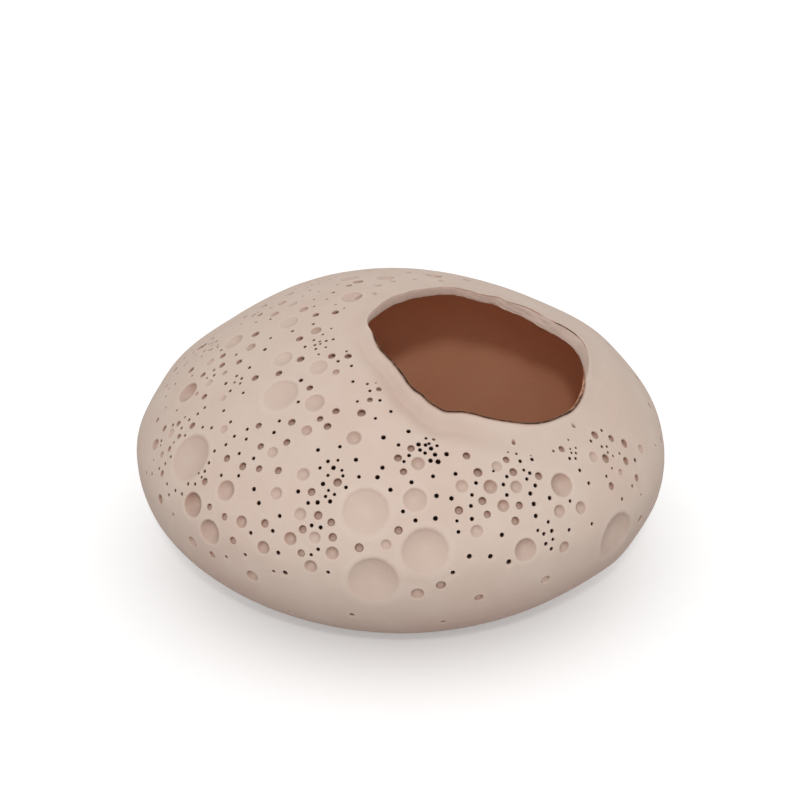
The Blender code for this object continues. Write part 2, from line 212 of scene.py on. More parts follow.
def seen_at(pixels, lift=0.0):
    """Bearings and latitudes of the places seen at the photograph's pixels, on a wall lifted a little."""
    pixels = np.array(pixels, float)
    across = (pixels[:, 0] - PHOTO_WIDTH / 2) * SENSOR_WIDTH / PHOTO_WIDTH / LENS
    up = (PHOTO_WIDTH / 2 - pixels[:, 1]) * SENSOR_WIDTH / PHOTO_WIDTH / LENS
    rays = np.array(view_forward) + np.outer(across, (1, 0, 0)) + np.outer(up, view_up)
    half_length, half_depth, rise, drop = half_sizes(False)

    def place(distance):
        x, y, z = (np.array(eye) + rays * np.reshape(distance, (-1, 1))).T
        level = (z - WIDEST_HEIGHT) / np.where(z > WIDEST_HEIGHT, rise + lift, drop + lift)
        x = x - CROWN_LEAN * np.clip(level, 0, 1)
        return x / (half_length + lift), y / (half_depth + lift), level

    def outside(distance):
        x, y, level = place(distance)
        power = np.where(level > 0, DOME_FULLNESS, BOWL_FULLNESS)
        return np.hypot(x, y) ** power + np.abs(level) ** power > 1

    marching = VIEW_DISTANCE * np.linspace(*MARCH)
    reached = np.array([~outside(np.full(len(pixels), step)) for step in marching])
    first = reached.argmax(0)
    near, far = marching[first - 1], marching[first]
    for _ in range(HALVINGS):
        middle = (near + far) / 2
        hit = outside(middle)
        near, far = np.where(hit, middle, near), np.where(hit, far, middle)
    x, y, level = place(near)
    power = np.where(level > 0, DOME_FULLNESS, BOWL_FULLNESS)
    latitude = np.arctan2(np.sign(level) * np.abs(level) ** (power / 2), np.hypot(x, y) ** (power / 2))
    return np.arctan2(y, x), latitude


# Marks pressed into the soft wall. A tool has rings of points that its marks need in the mesh, as shares of
# the radius, the points in a ring, the share of the radius that its sloping side takes, and the rim it raises
Tool = namedtuple("Tool", "rings around side rim")
Mark = namedtuple("Mark", "tool bearing latitude radius depth bares")
NEEDLE = Tool((0.5, 0.75, 0.86, 0.95, 1.02, 1.3), 9, 0.25, 0.00006)
SCOOP = Tool((0.38, 0.54, 0.68, 0.8, 0.9, 0.97, 1.03, 1.13, 1.3), 24, 0.85, 0.00012)
NEEDLE_DEPTH = 2.6  # in millimetres
# A pinhole bares the clay and more: past full wear it is painted near black, painted shade in the hole
NEEDLE_BARES_AND_SHADE = 2.9
NEEDLE_EDGE = 0.24  # a pinhole is this much wider than its black spot in the photograph
CLEAR = 1.3  # a mark keeps other points out of its rings up to this share of its radius
JOINT_ROWS = (0.0, 0.0002, 0.0006, 0.0014, 0.0028)  # rows along a joint, so that shading passes over it
AROUND = 320  # points in a level rim
SAME_POINT = 1e-7  # points of the chart that lie nearer than this become one


def marks_at(tool, bearings, levels, diameters, depths, bares):
    """Marks at bearings and latitudes in radians, from millimetres and how much brown each bares."""
    sizes = np.broadcast_arrays(bearings, levels, np.array(diameters) / 2000, np.array(depths) / 1000, bares)
    return [Mark(tool, *row) for row in zip(*sizes)]


def needle_marks(seen):
    """Pinholes from rows of pixel across, pixel down and diameter."""
    diameters = np.array([row[2] for row in seen]) + NEEDLE_EDGE
    return marks_at(NEEDLE, *seen_at([row[:2] for row in seen]), diameters, NEEDLE_DEPTH, NEEDLE_BARES_AND_SHADE)


def chart_scale(latitude):
    """Chart units in a metre of wall."""
    reach = math.exp(np.interp(-latitude, -latitudes, growth))
    return reach / np.interp(-latitude, -latitudes, profile_radius)


def rings_round(mark, scale):
    """Chart points in rings at true distances from a mark's middle."""
    turns = FULL_TURN * np.arange(mark.tool.around) / mark.tool.around
    middle = to_chart(np.array([mark.bearing]), np.array([mark.latitude]))
    centre = form(np.array([mark.bearing]), np.array([mark.latitude]))
    found = [middle]
    for number, share in enumerate(mark.tool.rings):
        turned = turns + number * FULL_TURN / 2 / mark.tool.around
        spread = np.stack((np.cos(turned), np.sin(turned)), -1) * mark.radius * share * scale
        for _ in range(2):  # the chart stretches, so the points are moved to their true distance
            away = np.linalg.norm(form(*from_chart(middle + spread)) - centre, axis=1)
            spread = spread * (mark.radius * share / away)[:, None]
        found.append(middle + spread)
    return np.concatenate(found)


def add_sheet(bm, skin, rims, holds, spacing, marks=(), inside=False, wear_and_painted_light=None):
    """Adds a sheet of wall between rims, and returns their vertices. The last argument gives the wear and
    painted shade of its slip.
    """
    loops = [rim(0.0) for rim in rims]
    points = [*loops, *(rim(width) for rim in rims for width in JOINT_ROWS[1:])]
    discs = np.zeros((0, 3))
    for mark in sorted(marks, key=lambda mark: mark.radius):
        scale = chart_scale(mark.latitude)
        added = rings_round(mark, scale)
        apart = np.linalg.norm(added[:, None] - discs[None, :, :2], axis=2)
        added = added[(apart > discs[None, :, 2]).all(1)]
        points.append(added[holds(*from_chart(added), JOINT_ROWS[-1])])
        middle = to_chart(mark.bearing, mark.latitude)
        discs = np.vstack((discs, (*middle, mark.radius * scale * CLEAR)))
    step = spacing / HALF_LENGTH
    least_room = spacing / 3
    rows = []
    for number, reach in enumerate(np.exp(np.arange(growth[0], growth[-1], step * math.sqrt(3) / 2))):
        turns = np.arange(0, FULL_TURN - step / 2, FULL_TURN / round(FULL_TURN / step))
        turns = turns + number % 2 * step / 2
        rows.append(reach * np.stack((np.cos(turns), np.sin(turns)), -1))
    rows = np.concatenate(rows)
    rows = rows[holds(*from_chart(rows), JOINT_ROWS[-1] + least_room)]
    room = least_room * np.hypot(rows[:, 0], rows[:, 1]) / HALF_LENGTH
    for x, y, radius in discs:
        free = np.hypot(rows[:, 0] - x, rows[:, 1] - y) > radius + room
        rows, room = rows[free], room[free]
    points = [Vector(point) for point in np.concatenate([*points, rows])]
    edges, start = [], 0
    for loop in loops:
        edges += [(start + number, start + (number + 1) % len(loop)) for number in range(len(loop))]
        start += len(loop)
    laid, _, triangles, origins, *_ = delaunay_2d_cdt(points, edges, [], 0, SAME_POINT)
    laid = np.array([tuple(point) for point in laid])
    places = skin(*from_chart(laid), inside=inside)
    vertices = [bm.verts.new(place) for place in places]
    middles = laid[np.array(triangles)].mean(1)
    kept = holds(*from_chart(middles), 0.0)
    for triangle, keep in zip(triangles, kept):
        if keep:
            order = reversed(triangle) if inside else triangle
            bm.faces.new([vertices[corner] for corner in order])
    slip = bm.verts.layers.float["past_slip"]
    for vertex in vertices:
        vertex[slip] = SLIP_REACH if inside else -SLIP_REACH
    if wear_and_painted_light:
        bared = bm.verts.layers.float["bared"]
        for vertex, share in zip(vertices, wear_and_painted_light(*from_chart(laid))):
            vertex[bared] = share
    where = {origin: number for number, found in enumerate(origins) for origin in found}
    found, start = [], 0
    for loop in loops:
        found.append([vertices[where[start + number]] for number in range(len(loop))])
        start += len(loop)
    return found


def add_ring(bm, points, past_slip, wear_and_painted_light=0.0):
    """Adds a ring of vertices. Past slip is the distance beyond the slip's edge, on the bare side."""
    slip, bared = (bm.verts.layers.float[name] for name in ("past_slip", "bared"))
    ring = [bm.verts.new(point) for point in points]
    past_slip, wear_and_painted_light = (np.broadcast_to(given, len(ring)) for given in (past_slip, wear_and_painted_light))
    for vertex, past, share in zip(ring, past_slip, wear_and_painted_light):
        vertex[slip], vertex[bared] = past, share
    return ring


def join_rings(bm, one, other):
    """Faces between two rings of vertices."""
    for here in range(len(one)):
        following = (here + 1) % len(one)
        bm.faces.new((one[here], one[following], other[following], other[here]))


# The tree that presses the marks has one turn of its loop for each, as a maker presses one after another.
# Places in a mark are shares of its radius
RIM_AT = 1.14
RIM_HALF = 0.2
EDGE_AT = 0.93  # the thin line of painted shade under the tool's upper edge
EDGE_HALF = 0.1
EDGE_SHADE_LEAST = 0.2  # the painted shade line shows this much even where a mark bares nothing else
MARK_REACH = 1.5  # beyond this a mark changes nothing


def node(tree, kind, feeds=(), **settings):
    """Adds a node. Each feed is a socket to link from, or a fixed value."""
    made = tree.nodes.new(kind)
    for name, value in settings.items():
        setattr(made, name, value)
    for socket, value in dict(feeds).items():
        if isinstance(value, bpy.types.NodeSocket):
            tree.links.new(value, made.inputs[socket])
        else:
            made.inputs[socket].default_value = value
    return made


def maths(tree, operation, *values, clamp=False):
    """A Math node's result."""
    return node(tree, "ShaderNodeMath", enumerate(values), operation=operation, use_clamp=clamp).outputs[0]


def vector_maths(tree, operation, *values, result="Vector"):
    """A Vector Math node's result. Scale is fed as the last value."""
    feeds = dict(enumerate(values))
    if operation == "SCALE":
        feeds = {0: values[0], "Scale": values[1]}
    return node(tree, "ShaderNodeVectorMath", feeds, operation=operation).outputs[result]


def build_pressing_tree():
    """Presses every mark of the Marks object into the wall's outside, and notes how far each bares the clay.

    A tool is pushed in and drawn a little down the wall, so a mark is deepest and crispest at its upper edge.
    It cuts the slip there, and the colour is painted darker in a thin line and over the upper side: painted
    shade where the wall faces down. It smears some slip over the floor, and the low rim that it raises stays
    thickly covered and is painted lighter, partly as a painted highlight.
    """
    tree = bpy.data.node_groups.new("press_marks", "GeometryNodeTree")
    sides = tree.interface
    sides.new_socket("Wall", in_out="INPUT", socket_type="NodeSocketGeometry")
    sides.new_socket("Marks", in_out="INPUT", socket_type="NodeSocketObject")
    sides.new_socket("Clay", in_out="INPUT", socket_type="NodeSocketMaterial")
    for name in ("Wobble", "Wobble Scale", "Drag", "Drawn Slip", "Cut", "Edge Line", "Smear", "Rim Slip"):
        sides.new_socket(name, in_out="INPUT", socket_type="NodeSocketFloat")
    sides.new_socket("Wall", in_out="OUTPUT", socket_type="NodeSocketGeometry")
    given = node(tree, "NodeGroupInput").outputs
    marks = node(tree, "GeometryNodeObjectInfo", {"Object": given["Marks"]}).outputs["Geometry"]
    count = node(tree, "GeometryNodeAttributeDomainSize", {"Geometry": marks}).outputs["Point Count"]

    def stored(name, kind="FLOAT"):
        made = node(tree, "GeometryNodeInputNamedAttribute", {"Name": name}, data_type=kind)
        return made.outputs["Attribute"]

    def store(geometry, name, value, kind="FLOAT", selection=True):
        feeds = {"Geometry": geometry, "Selection": selection, "Name": name, "Value": value}
        made = node(tree, "GeometryNodeStoreNamedAttribute", feeds, data_type=kind, domain="POINT")
        return made.outputs["Geometry"]

    place = node(tree, "GeometryNodeInputPosition").outputs["Position"]
    start = store(given["Wall"], "unpressed", place, kind="FLOAT_VECTOR")
    again = tree.nodes.new("GeometryNodeRepeatInput")
    done = tree.nodes.new("GeometryNodeRepeatOutput")
    again.pair_with_output(done)
    tree.links.new(count, again.inputs["Iterations"])
    tree.links.new(start, again.inputs["Geometry"])

    def of_mark(value, kind="FLOAT"):
        feeds = {"Geometry": marks, "Value": value, "Index": again.outputs["Iteration"]}
        return node(tree, "GeometryNodeSampleIndex", feeds, data_type=kind, domain="POINT").outputs["Value"]

    # How far out from the mark's middle a place lies, a little uneven, as wet clay gives way
    unpressed = stored("unpressed", "FLOAT_VECTOR")
    offset = vector_maths(tree, "SUBTRACT", unpressed, of_mark(place, "FLOAT_VECTOR"))
    away = vector_maths(tree, "LENGTH", offset, result="Value")
    feeds = {"Vector": unpressed, "Scale": given["Wobble Scale"], "Detail": 1.0}
    wobble = node(tree, "ShaderNodeTexNoise", feeds).outputs["Fac"]
    wobble = maths(tree, "MULTIPLY_ADD", maths(tree, "SUBTRACT", wobble, 0.5), given["Wobble"], 1.0)
    out = maths(tree, "MULTIPLY", maths(tree, "DIVIDE", away, of_mark(stored("radius"))), wobble)

    # The hollow falls from the edge over the tool's side, and the clay that it drives out stands as a low rim
    fall = maths(tree, "DIVIDE", maths(tree, "SUBTRACT", 1.0, out), of_mark(stored("side")), clamp=True)
    left = maths(tree, "SUBTRACT", 1.0, fall)
    hollow = maths(tree, "SUBTRACT", 1.0, maths(tree, "MULTIPLY", left, left))
    off_rim = maths(tree, "ABSOLUTE", maths(tree, "SUBTRACT", out, RIM_AT))
    rim = maths(tree, "SUBTRACT", 1.0, maths(tree, "DIVIDE", off_rim, RIM_HALF), clamp=True)
    uphill = of_mark(stored("uphill", "FLOAT_VECTOR"), "FLOAT_VECTOR")
    up_share = maths(tree, "DIVIDE", vector_maths(tree, "DOT_PRODUCT", offset, uphill, result="Value"), away)
    drawn = maths(tree, "MULTIPLY", maths(tree, "MULTIPLY", up_share, out), given["Drag"])
    drawn = maths(tree, "ADD", drawn, 1.0)
    depth = maths(tree, "MULTIPLY", maths(tree, "MULTIPLY", hollow, drawn), of_mark(stored("depth")))
    depth = maths(tree, "SUBTRACT", depth, maths(tree, "MULTIPLY", rim, of_mark(stored("rim"))))
    axis = of_mark(stored("axis", "FLOAT_VECTOR"), "FLOAT_VECTOR")
    push = vector_maths(tree, "SCALE", axis, maths(tree, "MULTIPLY", depth, -1.0))
    near = maths(tree, "LESS_THAN", away, maths(tree, "MULTIPLY", of_mark(stored("radius")), MARK_REACH))
    near = maths(tree, "MULTIPLY", near, stored("outside"))
    feeds = {"Geometry": again.outputs["Geometry"], "Selection": near, "Offset": push}
    pressed = node(tree, "GeometryNodeSetPosition", feeds).outputs["Geometry"]

    # The edge cuts the slip, a thin line at the top is painted dark as shade, and what is smeared covers the
    # floor
    cut = maths(tree, "DIVIDE", maths(tree, "SUBTRACT", 1.0, out), given["Cut"], clamp=True)
    smeared = maths(tree, "MULTIPLY", maths(tree, "MULTIPLY", fall, fall), given["Smear"])
    drawn = maths(tree, "MULTIPLY_ADD", maths(tree, "SUBTRACT", drawn, 1.0), given["Drawn Slip"], 1.0)
    bared = maths(tree, "MULTIPLY", maths(tree, "MULTIPLY", cut, drawn), of_mark(stored("bares")))
    bared = maths(tree, "MULTIPLY", bared, maths(tree, "SUBTRACT", 1.0, smeared))
    off_edge = maths(tree, "ABSOLUTE", maths(tree, "SUBTRACT", out, EDGE_AT))
    edge = maths(tree, "SUBTRACT", 1.0, maths(tree, "DIVIDE", off_edge, EDGE_HALF), clamp=True)
    edge = maths(tree, "MULTIPLY", edge, maths(tree, "MULTIPLY_ADD", up_share, 0.5, 0.5))
    edge = maths(tree, "MULTIPLY", edge, maths(tree, "ADD", of_mark(stored("bares")), EDGE_SHADE_LEAST))
    bared = maths(tree, "MULTIPLY_ADD", edge, given["Edge Line"], bared)
    bared = maths(tree, "SUBTRACT", bared, maths(tree, "GREATER_THAN", out, 1.0))
    # The raised rim is painted chalky and lighter: thicker slip, and partly a painted highlight
    covered = maths(tree, "SUBTRACT", stored("bared"), maths(tree, "MULTIPLY", rim, given["Rim Slip"]))
    pressed = store(pressed, "bared", maths(tree, "MAXIMUM", covered, bared), selection=near)
    tree.links.new(pressed, done.inputs["Geometry"])
    feeds = {"Geometry": done.outputs["Geometry"]}
    whole = node(tree, "GeometryNodeRealizeInstances", feeds).outputs["Geometry"]
    feeds = {"Geometry": whole, "Material": given["Clay"]}
    coated = node(tree, "GeometryNodeSetMaterial", feeds).outputs["Geometry"]
    node(tree, "NodeGroupOutput", {"Wall": coated})
    return tree


pressing_tree = build_pressing_tree()
WOBBLE = 0.05  # a mark's edge is uneven by this share of its radius
WOBBLE_SCALE = 260
DRAG = 0.5  # the share of its depth by which a mark is deeper at its upper edge
DRAWN_SHADE = 0.7  # of that share, as painted shade on the slip over a mark's upper side
CUT = 0.12  # the slip goes from whole to cut through over this share of a mark's radius
EDGE_SHADE = 0.55  # painted shade: a thin line under the tool's upper edge is this much darker
SMEAR = 0.50  # the share of the bared clay that smeared slip covers on a mark's floor
RIM_SLIP_AND_HIGHLIGHT = 0.25  # how much lighter the raised rim is painted: thicker slip, and partly a painted highlight
SLIP_REACH = 0.02  # past slip runs from this far inside the slip to this far onto bare clay


def build_marks(name, marks):
    """The marks as loose points that carry their sizes."""
    bearing = np.array([mark.bearing for mark in marks])
    latitude = np.array([mark.latitude for mark in marks])
    mesh = bpy.data.meshes.new(name)
    mesh.from_pydata(hand_skin(bearing, latitude).tolist(), [], [])
    sizes = {
        "radius": [mark.radius for mark in marks],
        "depth": [mark.depth for mark in marks],
        "side": [mark.tool.side for mark in marks],
        "rim": [mark.tool.rim for mark in marks],
        "bares": [mark.bares for mark in marks],
    }
    for size, values in sizes.items():
        mesh.attributes.new(size, "FLOAT", "POINT").data.foreach_set("value", values)
    axis = outward(bearing, latitude)
    uphill = np.array((0, 0, 1)) - axis * axis[:, 2:]
    uphill /= np.linalg.norm(uphill, axis=1, keepdims=True)
    mesh.attributes.new("axis", "FLOAT_VECTOR", "POINT").data.foreach_set("vector", axis.ravel())
    mesh.attributes.new("uphill", "FLOAT_VECTOR", "POINT").data.foreach_set("vector", uphill.ravel())
    points = bpy.data.objects.new(name, mesh)
    bpy.context.scene.collection.objects.link(points)
    return points


def start_wall():
    """An empty mesh with the layers that every piece of wall carries."""
    bm = bmesh.new()
    bm.verts.layers.float.new("past_slip")
    bm.verts.layers.float.new("bared")
    return bm


SHARP = math.radians(75)  # faces that meet at more than this have a hard edge


def finish_wall(name, bm, marks, clay, cad_node):
    """Makes an object of a piece of wall, presses its marks, and puts it in the CAD node's place."""
    bmesh.ops.recalc_face_normals(bm, faces=bm.faces)
    mesh = bpy.data.meshes.new(name)
    bm.to_mesh(mesh)
    bm.free()
    past = np.zeros(len(mesh.vertices), np.float32)
    mesh.attributes["past_slip"].data.foreach_get("value", past)
    outside = (past < -SLIP_REACH / 2).astype(np.float32)
    mesh.attributes.new("outside", "FLOAT", "POINT").data.foreach_set("value", outside)
    piece = bpy.data.objects.new(name, mesh)
    bpy.context.scene.collection.objects.link(piece)
    points = build_marks(name + "_marks", marks)
    pressing = piece.modifiers.new("press_marks", "NODES")
    pressing.node_group = pressing_tree
    given = {
        "Marks": points, "Clay": clay, "Wobble": WOBBLE, "Wobble Scale": WOBBLE_SCALE, "Drag": DRAG,
        "Drawn Slip": DRAWN_SHADE, "Cut": CUT, "Edge Line": EDGE_SHADE, "Smear": SMEAR, "Rim Slip": RIM_SLIP_AND_HIGHLIGHT,
    }
    for socket in pressing_tree.interface.items_tree:
        if socket.name in given:
            pressing[socket.identifier] = given[socket.name]
    pressed = bpy.data.meshes.new_from_object(piece.evaluated_get(bpy.context.evaluated_depsgraph_get()))
    piece.modifiers.remove(pressing)
    piece.data = pressed
    bpy.data.objects.remove(points)
    pressed.name = name
    pressed.shade_smooth()
    pressed.set_sharp_from_angle(angle=SHARP)
    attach(piece, POT)
    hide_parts(cad_node)
    return piece


# Fired brown clay, and the pale slip brushed over its outside. Both are dead matt
PALE_SLIP = (0.615, 0.495, 0.418, 1)
PINK_SLIP = (0.592, 0.434, 0.366, 1)
CHALKY_SLIP = (0.680, 0.573, 0.495, 1)
BROWN_CLAY = (0.720, 0.370, 0.220, 1)
PALER_BROWN = (0.750, 0.405, 0.250, 1)
SHADED_BARED_CLAY = (0.340, 0.200, 0.150, 1)  # bared clay and slip that has half filled a pit, painted darker than both: partly the clay's brown, partly painted shade; also grit in the slip
# Near black: dark grit in the clay, and painted shade in pinholes, cracks and the shadow line along the lip
DARK_GRIT_AND_SHADE = (0.016, 0.008, 0.005, 1)
CLOUDS = (16, 2, 0.5)  # noise in the clay and the slip: scale, detail, roughness
PATCHES = (55, 3, 0.5)
DRIFTS = (180, 3, 0.5)
GRAIN = (420, 4, 0.6)
GRIT = (1500, 3, 0.7)
CLOUDS_PINK = (0.35, 0.70)  # a pair is where noise starts to show in the colour, and where it does fully
PATCHES_CHALKY = (0.4, 0.75)
GRIT_IN_SLIP = (0.60, 0.80)
CLOUDS_PALER = (0.3, 0.7)
GRIT_IN_CLAY = (0.62, 0.80)
LOW_PART = (0.015, 0.075)  # the slip turns pink from the second of these heights down to the first
PINK_LOW = 0.75
PINK_CLOUDY = 0.4
CHALKY = 0.25
GRITTY = 0.3
RAGGED = 0.5  # how unevenly the slip wears
WORN_THROUGH = 0.8  # the wear at which the slip has its bared colour
SHADE_DARK_FROM = (0.90, 1.25)  # the wear from which the colour is painted near black as shade, and where it is darkest
# how far that painted shade darkens the bare clay
SHADE_ON_CLAY = 0.85
DRIFT = 0.004  # how far the line wanders where the slip ends
SLIP_END = (-0.0002, 0.0014)  # slip gives way to bare clay between these distances past its edge
ROUGH = 0.78
GRAIN_ROUGH = 0.2
GLOSS = 0.25
GRIT_RELIEF = 0.35  # of the grain's
BARED_RELIEF = 1.5  # more of it where the clay is bared
RELIEF_STRENGTH = 0.35
RELIEF_DEPTH = 0.00025


def blend(tree, share, one, other):
    """A mixed colour."""
    return node(tree, "ShaderNodeMix", {0: share, 6: one, 7: other}, data_type="RGBA").outputs[2]


def build_clay(name):
    """Slip over brown clay, with painted shade and painted highlights. It wears thin where the wall is
    pressed, and ends raggedly inside the mouth.
    """
    clay = bpy.data.materials.new(name)
    clay.use_nodes = True
    tree = clay.node_tree
    surface = tree.nodes["Principled BSDF"]
    place = node(tree, "ShaderNodeTexCoord").outputs["Object"]

    def cloud(scale, detail, roughness):
        feeds = {"Vector": place, "Scale": scale, "Detail": detail, "Roughness": roughness}
        return node(tree, "ShaderNodeTexNoise", feeds).outputs["Fac"]

    def carried(name):
        return node(tree, "ShaderNodeAttribute", attribute_name=name).outputs["Fac"]

    def eased(value, low, high):
        feeds = {"Value": value, "From Min": low, "From Max": high}
        return node(tree, "ShaderNodeMapRange", feeds, interpolation_type="SMOOTHSTEP").outputs["Result"]

    broad, patches, grain, grit = cloud(*CLOUDS), cloud(*PATCHES), cloud(*GRAIN), cloud(*GRIT)
    height = node(tree, "ShaderNodeSeparateXYZ", {"Vector": place}).outputs["Z"]
    low = maths(tree, "SUBTRACT", 1.0, eased(height, *LOW_PART))
    pink = maths(tree, "MULTIPLY", eased(broad, *CLOUDS_PINK), PINK_CLOUDY)
    pink = maths(tree, "MULTIPLY_ADD", low, PINK_LOW, pink, clamp=True)
    slip = blend(tree, pink, PALE_SLIP, PINK_SLIP)
    slip = blend(tree, maths(tree, "MULTIPLY", eased(patches, *PATCHES_CHALKY), CHALKY), slip, CHALKY_SLIP)
    slip = blend(tree, maths(tree, "MULTIPLY", eased(grit, *GRIT_IN_SLIP), GRITTY), slip, SHADED_BARED_CLAY)
    brown = blend(tree, eased(broad, *CLOUDS_PALER), BROWN_CLAY, PALER_BROWN)
    brown = blend(tree, maths(tree, "MULTIPLY", eased(grit, *GRIT_IN_CLAY), GRITTY), brown, DARK_GRIT_AND_SHADE)

    # How far the slip is worn, with painted shade added. Below 0 it lies thick and chalky, partly a painted
    # highlight
    bared = carried("bared")
    ragged = maths(tree, "MULTIPLY", maths(tree, "SUBTRACT", grain, 0.5), RAGGED)
    wear_and_painted_light = maths(tree, "MULTIPLY_ADD", ragged, bared, bared)
    slip = blend(tree, maths(tree, "DIVIDE", wear_and_painted_light, WORN_THROUGH, clamp=True), slip, SHADED_BARED_CLAY)
    # Painted shade: past that wear the colour goes near black
    dark = eased(wear_and_painted_light, *SHADE_DARK_FROM)
    slip = blend(tree, dark, slip, DARK_GRIT_AND_SHADE)
    brown = blend(tree, maths(tree, "MULTIPLY", dark, SHADE_ON_CLAY), brown, DARK_GRIT_AND_SHADE)
    slip = blend(tree, maths(tree, "MULTIPLY", bared, -1.0, clamp=True), slip, CHALKY_SLIP)
    drift = maths(tree, "MULTIPLY", maths(tree, "SUBTRACT", cloud(*DRIFTS), 0.5), DRIFT)
    edge = eased(maths(tree, "ADD", carried("past_slip"), drift), *SLIP_END)
    tree.links.new(blend(tree, edge, slip, brown), surface.inputs["Base Color"])
    tree.links.new(maths(tree, "MULTIPLY_ADD", grain, GRAIN_ROUGH, ROUGH), surface.inputs["Roughness"])
    surface.inputs["Specular IOR Level"].default_value = GLOSS
    coarse = maths(tree, "MULTIPLY_ADD", bared, BARED_RELIEF, GRIT_RELIEF)
    relief = maths(tree, "MULTIPLY_ADD", grit, coarse, grain)
    feeds = {"Height": relief, "Strength": RELIEF_STRENGTH, "Distance": RELIEF_DEPTH}
    tree.links.new(node(tree, "ShaderNodeBump", feeds).outputs["Normal"], surface.inputs["Normal"])
    return clay


clay = build_clay("slipped_clay")


# The bowl itself
SEAM = latitude_at(SEAM_HEIGHT)
FOOT = latitude_at(FOOT_ROUNDING)
FLOOR_EDGE = latitude_at(0.0)
SHEET_SPACING = 0.0036
INNER_SPACING = 0.0065
FOOT_ROWS = (0.3, 0.6, 0.85, 1.0)  # shares of the way round the foot's edge
DISC_SHARES = (0.96, 0.88, 0.75, 0.6, 0.45, 0.3, 0.15, 0.05)  # rings of the underside and of the floor
FOOT_UNEVEN = 0.0003
FOOT_BORDER = 0.25  # the underside flattens out over this share of its radius, next to the foot's edge
FLOOR_RISES = 4  # the power by which the floor rises into the wall
FLOOR_FINGERS = 0.4  # the floor's finger marks are this share of the wall's
seam_turns = FULL_TURN * np.arange(AROUND) / AROUND


def level_rim(latitude, downwards):
    """Rows of the chart that run level, by their distance from one latitude down or up the wall."""

    def rim(width):
        way = along(latitude) + (width if downwards else -width)
        level = np.full(AROUND, -np.interp(way, way_down, -latitudes))
        return to_chart(seam_turns, level)

    return rim


def bowl_holds(bearing, latitude, margin):
    """Whether places lie on the bowl, this far from its edges."""
    way = along(latitude)
    return (way > along(SEAM) + margin) & (way < along(FOOT) - margin)


def inner_bowl_holds(bearing, latitude, margin):
    """The same for its inside, down to the floor."""
    way = along(latitude)
    return (way > along(SEAM) + margin) & (way < along(FLOOR_EDGE) - margin)


LOW_PINHOLES = (  # pixel across and down, diameter
    (226, 585.5, 1.3), (297.5, 590, 2.2), (319, 592, 2.3), (461.5, 598, 2), (520, 592.5, 2.2),
    (289, 611, 1.9), (352, 614.5, 2.2), (507, 615, 2.2), (366, 629, 1.6), (443, 621.5, 2.3),
)
LOW_SCOOP = (571.5, 587, 4.4, 1.1, 0.3)  # pixel across and down, diameter, depth, brown
LOW_PINHOLES_BEHIND = (  # guessed: bearing, latitude, diameter
    (12, -24, 1.8), (31, -33, 2.0), (54, -22, 1.6), (79, -29, 1.8), (98, -38, 2.0),
    (116, -24, 1.6), (141, -31, 1.8), (163, -25, 2.0), (-168, -36, 1.8), (-8, -40, 1.6),
)
bearing, latitude, diameter = np.array(LOW_PINHOLES_BEHIND).T
low_marks = needle_marks(LOW_PINHOLES)
low_marks += marks_at(NEEDLE, np.radians(bearing), np.radians(latitude), diameter, NEEDLE_DEPTH, NEEDLE_BARES_AND_SHADE)
low_marks += marks_at(SCOOP, *seen_at([LOW_SCOOP[:2]]), *LOW_SCOOP[2:])

bm = start_wall()
outer_rims = [level_rim(SEAM, True), level_rim(FOOT, False)]
outer = add_sheet(bm, hand_skin, outer_rims, bowl_holds, SHEET_SPACING, low_marks)
inner_rims = [level_rim(SEAM, True), level_rim(FLOOR_EDGE, False)]
inner = add_sheet(bm, hand_skin, inner_rims, inner_bowl_holds, INNER_SPACING, inside=True)
join_rings(bm, outer[0], inner[0])
foot_edge = np.array([tuple(vertex.co) for vertex in outer[1]])
foot_corner = form(seam_turns, np.full(AROUND, FLOOR_EDGE))
foot_flat = foot_corner * (1 - FOOT_ROUNDING / FOOT_RADIUS)
last = outer[1]
for share in FOOT_ROWS:  # round the foot's edge
    bend = (1 - share) ** 2 * foot_edge + 2 * share * (1 - share) * foot_corner + share**2 * foot_flat
    bend[:, 2] = foot_edge[:, 2] * (1 - share) ** 2
    ring = add_ring(bm, bend, -SLIP_REACH)
    join_rings(bm, last, ring)
    last = ring
for share in DISC_SHARES:  # the underside, very slightly hollow
    flat = foot_flat * share
    raised = FOOT_UNEVEN * (0.5 + 0.5 * waver(flat, BEATING[0][0], 3))
    flat[:, 2] = raised * min(1, (1 - share) / FOOT_BORDER)
    ring = add_ring(bm, flat, -SLIP_REACH)
    join_rings(bm, last, ring)
    last = ring
bm.faces.new(last)
floor_edge = np.array([tuple(vertex.co) for vertex in inner[1]])
last = inner[1]
for share in DISC_SHARES:
    flat = floor_edge * share
    risen = share**FLOOR_RISES
    fingers = FINGER_MARKS[1] * FLOOR_FINGERS * waver(flat, FINGER_MARKS[0], 4)
    flat[:, 2] = FLOOR + (floor_edge[:, 2] - FLOOR) * risen + fingers * (1 - risen)
    ring = add_ring(bm, flat, SLIP_REACH)
    join_rings(bm, last, ring)
    last = ring
bm.faces.new(last)
finish_wall("slipped_bowl", bm, low_marks, clay, "lower_bowl")


# The upper dome
# The other half of the pebble, raised from coils on the bowl and beaten smooth while soft. It is pressed full
# of hollows with a ball, a scoop, a flat-ended stick and a needle, and left plain round the mouth.

BALL = Tool((0.12, 0.24, 0.36, 0.48, 0.6, 0.71, 0.81, 0.89, 0.95, 1.0, 1.05, 1.15, 1.3), 42, 1.0, 0.00008)
STICK = Tool((0.3, 0.55, 0.68, 0.8, 0.9, 0.97, 1.03, 1.13, 1.3), 17, 0.42, 0.00012)

